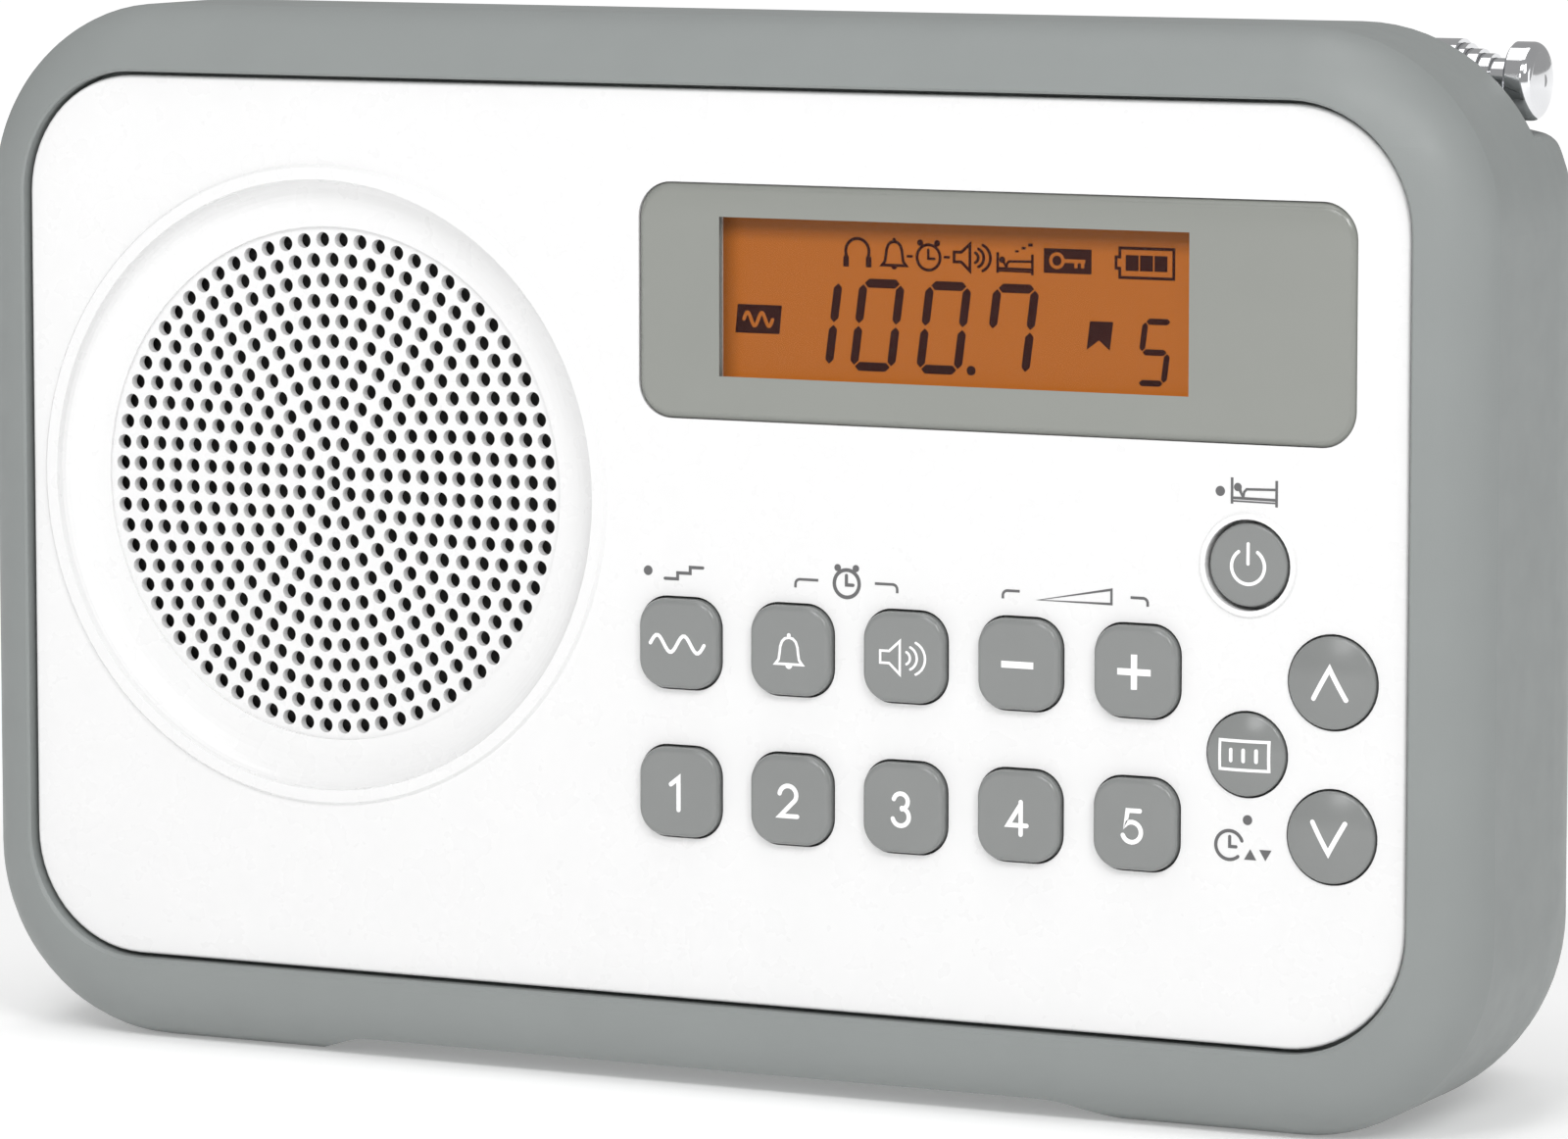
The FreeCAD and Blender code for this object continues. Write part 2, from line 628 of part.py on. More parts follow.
def speaker_grille():
    """Perforated disc: a centre hole and rings of 6, 12, 18 and so on."""
    wires = [Part.Wire(Part.makeCircle(GRILLE_R, Vector(SPK_X, GRILLE_Y, SPK_Z), Vector(0, 1, 0)))]
    for ring in range(GRILLE_RINGS + 1):
        count = max(1, 6 * ring)
        for i in range(count):
            a = 2 * math.pi * (i + 0.5) / count
            x = SPK_X + GRILLE_PITCH * ring * math.cos(a)
            z = SPK_Z + GRILLE_PITCH * ring * math.sin(a)
            wires.append(Part.Wire(Part.makeCircle(GRILLE_HOLE_R, Vector(x, GRILLE_Y, z), Vector(0, 1, 0))))
    face = Part.makeFace(wires, "Part::FaceMakerBullseye")
    return face.extrude(Vector(0, GRILLE_T, 0))


def display_window():
    front = PANEL_Y - WINDOW_PROUD
    back = PANEL_Y + POCKET_DEPTH - MASK_T - MASK_GAP
    window = window_slab(0, front, back)
    return window.makeChamfer(0.55, front_edges(window, front))


def window_mask():
    back = PANEL_Y + POCKET_DEPTH
    return window_slab(-0.2, back - MASK_T, back).cut(view_box(0, back - 1, back + 1))


# ---------------------------------------------------------------- display

def lcd_block(grow, y0, y1):
    return box(LCD_X[0] - grow, LCD_X[1] + grow, y0, y1,
               PANEL_Z + LCD_Z[0] - grow, PANEL_Z + LCD_Z[1] + grow)


def lcd_glass():
    return lcd_block(0, LCD_FRONT, LCD_FRONT + GLASS_T)


def light_guide():
    back = LCD_FRONT + GLASS_T
    return lcd_block(0, back + 0.05, back + GUIDE_T).cut(connector_space(0.1))


def connector_space(grow):
    z0 = PANEL_Z + LCD_Z[0]
    return box(LCD_X[0] + 1 - grow, LCD_X[1] - 1 + grow, LCD_FRONT + GLASS_T,
               BOARD_Y, z0 + 0.3 - grow, z0 + 1.8 + grow)


def lcd_connector():
    return connector_space(0)


def peg_places():
    """Where the display frame's pegs pass through the main board."""
    sides = (LCD_X[0] - 0.75, LCD_X[1] + 0.75)
    levels = (PANEL_Z + LCD_Z[0] + 3, PANEL_Z + LCD_Z[1] - 3)
    return [(x, z) for x in sides for z in levels]


def lcd_frame():
    outer = lcd_block(1.4, LCD_FRONT, BOARD_Y)
    pegs = [cyl_y(x, z, 0.6, BOARD_Y - 0.5, BOARD_BACK + 0.6) for x, z in peg_places()]
    return joined([outer.cut(lcd_block(0.1, LCD_FRONT - 1, BOARD_Y + 1))] + pegs)


# ---------------------------------------------------------------- keys

def square_key(x, z):
    cap = square_slab(x, z, 0, KEY_FRONT, PANEL_BACK + 0.1)
    cap = cap.makeFillet(KEY_EDGE, front_edges(cap, KEY_FRONT))
    flange = square_slab(x, z, KEY_LIP, PANEL_BACK + 0.05, PANEL_BACK + 0.05 + KEY_FLANGE_T)
    return joined([cap, flange])


def round_key(x, z, r, front, crown):
    """Round key with a domed face that rises by crown at its centre."""
    sphere_r = (r * r + crown * crown) / (2 * crown)
    cap = cyl_y(x, z, r, front, PANEL_BACK + 0.1)
    cap = cap.common(Part.makeSphere(sphere_r, Vector(x, front + sphere_r, z)))
    edges = [e for e in cap.Edges if abs(e.BoundBox.YMin - front - crown) < 1e-3
             and abs(e.BoundBox.YMax - front - crown) < 1e-3]
    cap = cap.makeFillet(0.3, edges)
    back = PANEL_BACK + 0.05
    return joined([cap, cyl_y(x, z, r + KEY_LIP, back, back + KEY_FLANGE_T)])


def keypad_mat():
    """Silicone sheet with a hollow dome behind every key."""
    sheet = box(BOARD_X[0] + 1.2, BOARD_X[1] - 0.4, MAT_Y, BOARD_Y, PANEL_Z - 37.0, PANEL_Z + 7.8)
    root = MAT_Y + 0.1
    domes = [Part.makeCone(DOME_R, DOME_R - 0.4, root - DOME_TOP, Vector(x, root, z), Vector(0, -1, 0))
             for x, z in key_centres()]
    hollows = [cyl_y(x, z, DOME_R - 1.3, MAT_Y + 0.2, BOARD_Y + 1) for x, z in key_centres()]
    return joined([sheet] + domes).cut(Part.makeCompound(hollows))


# ---------------------------------------------------------------- boards

def main_board():
    board = box(BOARD_X[0], BOARD_X[1], BOARD_Y, BOARD_BACK, PANEL_Z + BOARD_Z[0], PANEL_Z + BOARD_Z[1])
    holes = [cyl_y(x, PANEL_Z + z, 1.5, BOARD_Y - 1, BOARD_BACK + 1) for x, z in BOARD_SCREWS]
    holes += [cyl_y(x, z, 0.7, BOARD_Y - 1, BOARD_BACK + 1) for x, z in peg_places()]
    return board.cut(Part.makeCompound(holes))


def on_board(x, z, w, h, t):
    """Block on the back of the main board, centred at x, z from the panel's centre."""
    return box(x - w / 2, x + w / 2, BOARD_BACK, BOARD_BACK + t, PANEL_Z + z - h / 2, PANEL_Z + z + h / 2)


def board_chips():
    chips = [on_board(28, -6, 14, 14, 1.6), on_board(8, -28, 10, 5, 1.5), on_board(52, -30, 6, 5, 1.5),
             on_board(12, 6, 8, 3.5, 3.0), on_board(66, -8, 4, 3, 1.2)]
    return Part.makeCompound(chips)


def tuner_shield():
    can = on_board(46, 24, 26, 20, 5.0)
    edges = [e for e in can.Edges if e.BoundBox.YMin > BOARD_BACK + 4.9]
    can = can.makeFillet(0.8, edges)
    return can.cut(on_board(46, 24, 25, 19, 4.5))


def board_capacitors():
    places = [(-2, -8, 5.0, 12.0), (72, -24, 4.0, 11.0), (72, -36, 4.0, 11.0), (26, -37, 3.15, 8.0)]
    return Part.makeCompound([cyl_y(x, PANEL_Z + z, r, BOARD_BACK, BOARD_BACK + h) for x, z, r, h in places])


def ferrite_rod():
    return cyl_x(ROD_Y, ROD_Z, ROD_R, *ROD_X)


def ferrite_coil():
    return tube_x(ROD_Y, ROD_Z, COIL_R, ROD_R + 0.02, *COIL_X)


def ferrite_clips():
    clips = []
    for x in CLIP_X:
        block = box(x - 2.5, x + 2.5, BOARD_BACK, ROD_Y, ROD_Z - 3, ROD_Z + 3)
        ring = cyl_x(ROD_Y, ROD_Z, ROD_R + 1.2, x - 2.5, x + 2.5)
        clip = joined([block, ring]).cut(cyl_x(ROD_Y, ROD_Z, ROD_R + 0.02, x - 3, x + 3))
        clips.append(clip)
    return Part.makeCompound(clips)


# ---------------------------------------------------------------- loudspeaker

def speaker_screw_places():
    return [(SPK_X + SPEAKER_SCREW_R * math.cos(math.radians(a)),
             SPK_Z + SPEAKER_SCREW_R * math.sin(math.radians(a))) for a in (45, 135, 225, 315)]


def speaker_gasket():
    return turned(SPK_X, SPK_Z, [(31.0, SPK_SEAT_Y), (BASKET_R, SPK_SEAT_Y),
                                 (BASKET_R, BASKET_Y), (31.0, BASKET_Y)])


def speaker_basket():
    basket = turned(SPK_X, SPK_Z, [
        (BASKET_R, BASKET_Y), (BASKET_R, BASKET_Y + 0.8), (30.2, BASKET_Y + 0.8),
        (17.0, CAN_Y + 0.8), (9.0, CAN_Y + 0.8), (9.0, CAN_Y), (16.4, CAN_Y), (29.6, BASKET_Y)])
    windows = []
    for angle in (0, 90, 180, 270):
        window = box(SPK_X + 18.5, SPK_X + 28.0, BASKET_Y + 1.5, CAN_Y - 0.6, SPK_Z - 6.5, SPK_Z + 6.5)
        window.rotate(Vector(SPK_X, 0, SPK_Z), Vector(0, 1, 0), angle)
        windows.append(window)
    return basket.cut(Part.makeCompound(windows))


def speaker_magnet():
    """Top plate, ring magnet, back plate and pole piece, glued into one unit."""
    plate = CAN_Y + 0.8
    return turned(SPK_X, SPK_Z, [(15.5, plate), (15.5, plate + 2), (17.5, plate + 2), (17.5, plate + 9),
                                 (15.5, plate + 9), (15.5, plate + 11), (0, plate + 11), (0, plate - 1.5),
                                 (7.6, plate - 1.5), (7.6, plate + 8.8), (8.8, plate + 8.8), (8.8, plate)])


def speaker_cone():
    """Paper cone with its roll surround, dust cap and voice coil."""
    rim = BASKET_Y - 0.4
    front = [(30.9, rim), (29.6, rim), (28.5, rim - 0.5), (27.4, rim), (9.5, CAN_Y - 3.2),
             (8.0, CAN_Y - 4.4), (5.0, CAN_Y - 5.4), (0, CAN_Y - 5.9)]
    back = [(r, y + 0.4) for r, y in reversed(front)]
    coil = [(8.0, CAN_Y - 4.2), (8.4, CAN_Y - 4.2), (8.4, CAN_Y + 4), (8.0, CAN_Y + 4)]
    return joined([turned(SPK_X, SPK_Z, front + back), turned(SPK_X, SPK_Z, coil)])


# ---------------------------------------------------------------- sockets and lock switch

def jack_board():
    x0 = JACK_BOARD_X
    return box(x0, x0 + JACK_BOARD_T, SIDE_Y - 6.5, SIDE_Y + 6.0, 24.0, 59.0)


def headphone_jack():
    body = box(SIDE_WALL_X + 0.2, JACK_BOARD_X, SIDE_Y - 4, SIDE_Y + 4, PHONES_Z - 3.5, PHONES_Z + 3.5)
    nose = cyl_x(SIDE_Y, PHONES_Z, 2.9, -HALF_WIDTH + 0.1, SIDE_WALL_X + 1)
    return joined([body, nose]).cut(cyl_x(SIDE_Y, PHONES_Z, PHONES_BORE_R, -HALF_WIDTH, JACK_BOARD_X - 0.6))


def dc_jack():
    body = box(SIDE_WALL_X + 0.2, JACK_BOARD_X, SIDE_Y - 4.5, SIDE_Y + 4.5, DC_Z - 4.5, DC_Z + 4.5)
    nose = cyl_x(SIDE_Y, DC_Z, 3.9, -HALF_WIDTH + 0.1, SIDE_WALL_X + 1)
    body = joined([body, nose]).cut(cyl_x(SIDE_Y, DC_Z, DC_BORE_R, -HALF_WIDTH, JACK_BOARD_X - 2.5))
    return joined([body, cyl_x(SIDE_Y, DC_Z, 1.0, -HALF_WIDTH + 1.6, JACK_BOARD_X - 2)])


def lock_switch():
    body = box(SIDE_WALL_X + 3.6, JACK_BOARD_X, SIDE_Y - 2.4, SIDE_Y + 2.4, LOCK_Z - 4.5, LOCK_Z + 4.5)
    slot = box(SIDE_WALL_X + 3, JACK_BOARD_X - 4, SIDE_Y - 1.1, SIDE_Y + 1.1, LOCK_Z - 3.1, LOCK_Z + 3.1)
    return body.cut(slot)


def lock_slider():
    """Knob in the pocket of the frame's side, with a stem into the switch. At rest it is at the lower end."""
    z = LOCK_Z - 1.5
    knob = box(-HALF_WIDTH + 0.15, -HALF_WIDTH + 1.2, SIDE_Y - 3.0, SIDE_Y + 3.0, z - 3.5, z + 3.5)
    stem = box(-HALF_WIDTH + 1.0, SIDE_WALL_X + 5.5, SIDE_Y - 0.9, SIDE_Y + 0.9, z - 1.4, z + 1.4)
    ribs = [box(-HALF_WIDTH + 0.15, -HALF_WIDTH + 0.5, SIDE_Y - 3.5, SIDE_Y + 3.5, z + k - 0.3, z + k + 0.3)
            for k in (-1.5, 0.0, 1.5)]
    return joined([knob, stem]).cut(Part.makeCompound(ribs))


# ---------------------------------------------------------------- power

def cell(x, z, way):
    """AA cell along X, its raised end towards way."""
    nub = 1.2
    body_l = CELL_L - nub
    x0 = x if way > 0 else x + nub
    body = cyl_x(CELL_Y, z, CELL_R, x0, x0 + body_l)
    body = body.makeFillet(0.6, [e for e in body.Edges if e.Length > 20 and e.BoundBox.XLength < 0.01])
    tip_x = x + body_l - 0.1 if way > 0 else x
    return joined([body, cyl_x(CELL_Y, z, 2.6, tip_x, tip_x + nub + 0.1)])


def battery_cells():
    cells = []
    inner = BAY_X - 0.4
    for row, way in enumerate((1, -1)):
        first = inner - 2 * CELL_L - 0.02 if way > 0 else -inner + 0.02
        cells.append(cell(first, CELL_Z[row], way))
        cells.append(cell(first + CELL_L, CELL_Z[row], way))
    return Part.makeCompound(cells)


def battery_contacts():
    """End plates with tails through the bay's wall, and the springs that press the cells."""
    parts = []
    for end in (-1, 1):
        x0 = end * BAY_X - (0.4 if end > 0 else 0)
        plates = []
        for row, z in enumerate(CELL_Z):
            plates.append(box(x0, x0 + 0.4, BAY_Y[0] + 0.6, BAY_Y[1] - 1, z - 6, z + 6))
            plates.append(box(x0, x0 + 0.4, BAY_Y[0] - BAY_WALL - 2.5, BAY_Y[0] + 0.7, z - 1.3, z + 1.3))
        if end > 0:
            plates.append(box(x0, x0 + 0.4, 16.0, 22.0, CELL_Z[0], CELL_Z[1]))
            parts.append(joined(plates))
        else:
            parts.append(joined(plates[:2]))
            parts.append(joined(plates[2:]))
    inner = BAY_X - 0.4
    reach = 2 * inner - 2 * CELL_L - 0.05
    parts.append(helix_spring(CELL_Y, CELL_Z[0], -inner, -inner + reach, 3.4, 0.35, 3.0))
    parts.append(helix_spring(CELL_Y, CELL_Z[1], inner - reach, inner, 3.4, 0.35, 3.0))
    return Part.makeCompound(parts)


def battery_door():
    low = HINGE_Z
    door = box(-DOOR_X, DOOR_X, REAR_Y - 2 * HINGE_R, REAR_Y, low, DOOR_TOP)
    barrel = cyl_x(HINGE_Y, HINGE_Z, HINGE_R, -DOOR_X, DOOR_X)
    pins = cyl_x(HINGE_Y, HINGE_Z, HINGE_PIN_R, -DOOR_X - 1.7, DOOR_X + 1.7)
    grips = [box(-9, 9, REAR_Y - 0.5, REAR_Y + 1, DOOR_TOP - 2.6 - 1.8 * i, DOOR_TOP - 1.8 - 1.8 * i)
             for i in range(4)]
    return joined([door, barrel, pins]).cut(Part.makeCompound(grips))


# ---------------------------------------------------------------- antenna

def antenna_base():
    """Swivel turret: a spigot through the step, a round foot and a fork for the elbow."""
    spigot = cyl_z(ANT_X, ANT_Y, 2.98, STEP_Z - 5.0, STEP_Z + 0.5)
    foot = cyl_z(ANT_X, ANT_Y, 5.0, STEP_Z + 0.1, STEP_Z + 2.4)
    half = FORK_GAP / 2 + EAR_T
    fork = cyl_y(ANT_X, ANT_Z, 3.4, ANT_Y - half, ANT_Y + half)
    neck = box(ANT_X - 3.4, ANT_X + 3.4, ANT_Y - half, ANT_Y + half, STEP_Z + 1, ANT_Z)
    turret = joined([fork, neck]).common(cyl_z(ANT_X, ANT_Y, 5.0, STEP_Z, 125))
    slot = box(ANT_X - 6, ANT_X + 6, ANT_Y - FORK_GAP / 2, ANT_Y + FORK_GAP / 2, STEP_Z + 2.4, 125)
    turret = joined([turret.cut(slot), foot, spigot])
    turret = turret.cut(cyl_y(ANT_X, ANT_Z, PIN_R, ANT_Y - 9, ANT_Y + 9))
    return turret.cut(cyl_z(ANT_X, ANT_Y, 1.3, STEP_Z - 6, STEP_Z + 1.5))


def antenna_screw():
    """Screw and washer that hold the turret down from inside the case."""
    shank = cyl_z(ANT_X, ANT_Y, 1.3, STEP_Z - 6.3, STEP_Z + 1.4)
    washer = cyl_z(ANT_X, ANT_Y, 4.6, STEP_Z - 5.8, STEP_Z - 5.1)
    head = cyl_z(ANT_X, ANT_Y, 2.6, STEP_Z - 8.0, STEP_Z - 5.8)
    drive = box(ANT_X - 2.0, ANT_X + 2.0, ANT_Y - 0.3, ANT_Y + 0.3, STEP_Z - 8.5, STEP_Z - 7.2)
    return joined([shank, washer, head]).cut(drive)


def antenna_pin():
    reach = math.sqrt(5.0 ** 2 - PIN_R ** 2) - 0.05
    return cyl_y(ANT_X, ANT_Z, PIN_R, ANT_Y - reach, ANT_Y + reach)


def antenna_knuckle():
    """Flat eye on the elbow pin, and the round plug that the outer tube is crimped on."""
    eye = cyl_y(ANT_X, ANT_Z, 3.2, ANT_Y - 2.0, ANT_Y + 2.0)
    tongue = box(ANT_X, TUBE_START[0] - 3, ANT_Y - 2.0, ANT_Y + 2.0, ANT_Z - 2.7, ANT_Z + 2.7)
    shoulder = cyl_x(ANT_Y, ANT_Z, TUBE_R[0] + 0.15, TUBE_START[0] - 4.5, TUBE_START[0])
    plug = cyl_x(ANT_Y, ANT_Z, TUBE_R[0] - TUBE_WALL, TUBE_START[0] - 1, TUBE_START[0] + 3.5)
    bore = cyl_y(ANT_X, ANT_Z, PIN_R + RUN_FIT, ANT_Y - 9, ANT_Y + 9)
    return joined([eye, tongue, shoulder, plug]).cut(bore)


def antenna_tube(i):
    """One telescopic section. Its inner end has a friction collar and its mouth is rolled in."""
    r_out = TUBE_R[i]
    x0 = TUBE_START[i]
    x1 = TUBE_MOUTH[i]
    last = i == len(TUBE_R) - 1
    shapes = [cyl_x(ANT_Y, ANT_Z, r_out, x0, x1)]
    if i > 0:
        collar_r = TUBE_R[i - 1] - TUBE_WALL - RUN_FIT
        shapes.append(cyl_x(ANT_Y, ANT_Z, collar_r, x0, x0 + COLLAR_L))
    bore_end = x1 + 1 if last else x1 - ROLL_L
    tube = joined(shapes).cut(cyl_x(ANT_Y, ANT_Z, r_out - TUBE_WALL, x0 - 1, bore_end))
    if last:
        return tube
    return tube.cut(cyl_x(ANT_Y, ANT_Z, TUBE_R[i + 1] + RUN_FIT, x0, x1 + 1))


def antenna_tip():
    """Turned end cap: a plug in the last tube, a thick rim and a slightly domed face."""
    def at(x, r):
        return Vector(TUBE_MOUTH[-1] + x, ANT_Y, ANT_Z + r)
    plug_r = TUBE_R[-1] - TUBE_WALL
    k = TIP_ROUND * (1 - math.sqrt(0.5))
    shoulder = TIP_L + TIP_ROUND
    line = [at(-TIP_PLUG, 0), at(-TIP_PLUG, plug_r), at(0, plug_r),
            at(0, TIP_R - 0.3), at(0.3, TIP_R), at(TIP_L, TIP_R)]
    edges = [Part.makeLine(a, b) for a, b in zip(line, line[1:])]
    flat_r = TIP_R - TIP_ROUND
    edges.append(Part.Arc(line[-1], at(shoulder - k, TIP_R - k), at(shoulder, flat_r)).toShape())
    sphere_r = (flat_r * flat_r + TIP_CROWN * TIP_CROWN) / (2 * TIP_CROWN)
    end = shoulder + TIP_CROWN
    middle = end - sphere_r + math.sqrt(sphere_r * sphere_r - flat_r * flat_r / 4)
    edges.append(Part.Arc(at(shoulder, flat_r), at(middle, flat_r / 2), at(end, 0)).toShape())
    edges.append(Part.makeLine(at(end, 0), line[0]))
    face = Part.Face(Part.Wire(edges))
    return face.revolve(Vector(0, ANT_Y, ANT_Z), Vector(1, 0, 0), 360)


# ---------------------------------------------------------------- screws and wires

def cross_screw(x, z, head_y, head_r, shank_r, length, way):
    """Pan-head screw along Y: the shank runs from head_y by length, towards way."""
    tall = 1.8
    far = head_y + way * length
    shank = cyl_y(x, z, shank_r, min(head_y, far), max(head_y, far))
    top = head_y - way * tall
    head = cyl_y(x, z, head_r, min(head_y, top), max(head_y, top))
    drives = []
    for w, h in ((head_r * 0.6, 0.3), (0.3, head_r * 0.6)):
        near = top - way * 0.5
        deep = top + way * 0.9
        drives.append(box(x - w, x + w, min(near, deep), max(near, deep), z - h, z + h))
    return joined([shank, head]).cut(joined(drives))


def case_screws():
    return Part.makeCompound([cross_screw(x, z, 3.0, 2.8, SCREW_R, 20.5, -1) for x, z in CASE_SCREWS])


def board_screws():
    places = [(x, PANEL_Z + z) for x, z in BOARD_SCREWS]
    return Part.makeCompound([cross_screw(x, z, BOARD_BACK, 2.2, 1.0, 4.0, -1) for x, z in places])


def speaker_screws():
    seat = SPK_SEAT_Y + 1.75
    return Part.makeCompound([cross_screw(x, z, seat, 3.1, 1.0, 3.4, -1) for x, z in speaker_screw_places()])


def speaker_leads():
    """Two wires from the basket's lower rim to the main board."""
    leads = []
    for k in (0.0, 2.4):
        leads.append(lead([(SPK_X + 26.0, -17.0, SPK_Z - 22.0 - k), (SPK_X + 33.0, -13.0, SPK_Z - 25.0 - k),
                           (-4.0, -12.5, SPK_Z - 27.0 - k), (4.0, -14.0, SPK_Z - 25.0 - k),
                           (4.0, BOARD_BACK, SPK_Z - 25.0 - k)], 0.6))
    return Part.makeCompound(leads)


def battery_leads():
    """Two wires from the left contacts' tails to the main board."""
    leads = []
    for row, k in ((0, 0.0), (1, 3.0)):
        x = -BAY_X + 1.0
        z = CELL_Z[row]
        leads.append(lead([(x, BAY_Y[0] - BAY_WALL - 2.0, z), (x + 8, 5.0, z - 2), (-24.0, 3.5, z - 5.0),
                           (-6.0, 1.0, 31.0 + k), (12.0, -6.0, 27.0 + k), (17.0, -12.0, 26.0 + k),
                           (17.0, BOARD_BACK, 26.0 + k)], 0.7))
    return Part.makeCompound(leads)


def antenna_lead():
    """Wire from the washer under the antenna to the main board."""
    return lead([(ANT_X + 3.4, ANT_Y, STEP_Z - 6.3), (ANT_X + 8.0, ANT_Y - 2.0, STEP_Z - 9.0),
                 (-50.0, 0.0, 103.0), (-26.0, -4.0, 101.0), (-7.0, -12.0, 95.0),
                 (-7.0, BOARD_BACK, 95.0)], 0.6)


# ---------------------------------------------------------------- build

def all_nodes():
    nodes = {
        "front_frame": front_frame(),
        "rear_shell": rear_shell(),
        "front_panel": front_panel(),
        "speaker_grille": speaker_grille(),
        "display_window": display_window(),
        "window_mask": window_mask(),
        "lcd_glass": lcd_glass(),
        "light_guide": light_guide(),
        "lcd_frame": lcd_frame(),
        "lcd_connector": lcd_connector(),
        "keypad_mat": keypad_mat(),
        "main_board": main_board(),
        "board_chips": board_chips(),
        "tuner_shield": tuner_shield(),
        "board_capacitors": board_capacitors(),
        "ferrite_rod": ferrite_rod(),
        "ferrite_coil": ferrite_coil(),
        "ferrite_clips": ferrite_clips(),
        "speaker_gasket": speaker_gasket(),
        "speaker_basket": speaker_basket(),
        "speaker_magnet": speaker_magnet(),
        "speaker_cone": speaker_cone(),
        "jack_board": jack_board(),
        "headphone_jack": headphone_jack(),
        "dc_jack": dc_jack(),
        "lock_switch": lock_switch(),
        "lock_slider": lock_slider(),
        "battery_cells": battery_cells(),
        "battery_contacts": battery_contacts(),
        "battery_door": battery_door(),
        "case_screws": case_screws(),
        "board_screws": board_screws(),
        "speaker_screws": speaker_screws(),
        "speaker_leads": speaker_leads(),
        "battery_leads": battery_leads(),
        "antenna_lead": antenna_lead(),
        "antenna_base": antenna_base(),
        "antenna_screw": antenna_screw(),
        "antenna_pin": antenna_pin(),
        "antenna_knuckle": antenna_knuckle(),
        "antenna_tip": antenna_tip(),
        "key_power": round_key(SIDE_X, PANEL_Z + POWER_Z, POWER_R, POWER_FRONT, POWER_CROWN),
    }
    for i in range(len(TUBE_R)):
        nodes["antenna_tube_%d" % (i + 1)] = antenna_tube(i)
    for name, x, z in key_places():
        nodes[name] = square_key(x, z)
    for name, x, z, r in round_key_places():
        nodes[name] = round_key(x, z, r, KEY_FRONT, CROWN)
    return nodes


for node, shape in all_nodes().items():
    if not shape.isValid():
        print("not valid:", node)
    print("%-20s solids %d  volume %.1f" % (node, len(shape.Solids), shape.Volume))
    shape.exportStep("parts/%s.step" % node)
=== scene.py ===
import math

import bmesh
import bpy
from mathutils import Euler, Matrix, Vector


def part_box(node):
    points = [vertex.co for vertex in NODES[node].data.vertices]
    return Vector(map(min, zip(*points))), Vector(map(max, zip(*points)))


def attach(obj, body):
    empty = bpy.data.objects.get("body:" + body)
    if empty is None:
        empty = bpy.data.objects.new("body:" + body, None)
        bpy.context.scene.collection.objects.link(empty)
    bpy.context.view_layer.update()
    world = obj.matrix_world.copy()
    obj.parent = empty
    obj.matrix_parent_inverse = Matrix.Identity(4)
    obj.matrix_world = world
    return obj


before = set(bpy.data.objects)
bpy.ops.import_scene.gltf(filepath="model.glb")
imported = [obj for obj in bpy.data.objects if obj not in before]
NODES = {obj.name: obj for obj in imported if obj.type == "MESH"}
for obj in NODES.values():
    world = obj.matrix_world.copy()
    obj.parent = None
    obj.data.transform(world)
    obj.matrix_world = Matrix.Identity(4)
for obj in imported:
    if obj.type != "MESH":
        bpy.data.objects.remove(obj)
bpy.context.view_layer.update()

# Looks for the tabletop radio. Sizes in the helpers are millimetres, as in the CAD, and MM turns
# them into metres.
MM = 0.001

PANEL_Z = 62.5            # height of the panel's centre
PANEL_Y = -27.8           # front face of the panel
PRINT_T = 0.03            # thickness of printed marks
PRINT_ROOT = 0.01         # how far a mark reaches into what it lies on
PRINT_STEP = 0.004        # height difference between strokes that cross
KEY_FACE_Y = -28.95
POWER_FACE_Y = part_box("key_power")[0].y / MM
KEY_X = [-1.1 + 14.1 * i for i in range(5)]
KEY_ROWS = (-11.0, -28.0)
SIDE_X, TUNE_X = 68.35, 78.4
TUNE_R, SIDE_R = 5.1, 4.6
CROWN, POWER_CROWN = 0.75, 0.1
WINDOW_X, WINDOW_Z, WINDOW_R = (-6.4, 80.8), (14.7, 41.3), 4.0
CLEAR_X, CLEAR_Z = (3.8, 61.2), (19.6, 37.6)
LCD_TOP = 36.9            # upper and left edges of the part of the display that shows, where the glow gets painted shade
LCD_LEFT = 2.8


# ---------------------------------------------------------------- materials

def srgb(r, g, b):
    """Linear colour of an 8-bit sRGB colour."""
    def channel(c):
        c /= 255
        return c / 12.92 if c <= 0.04045 else ((c + 0.055) / 1.055) ** 2.4
    return (channel(r), channel(g), channel(b), 1.0)


def scaled(colour, k):
    return tuple(min(1.0, c * k) for c in colour[:3]) + (1.0,)


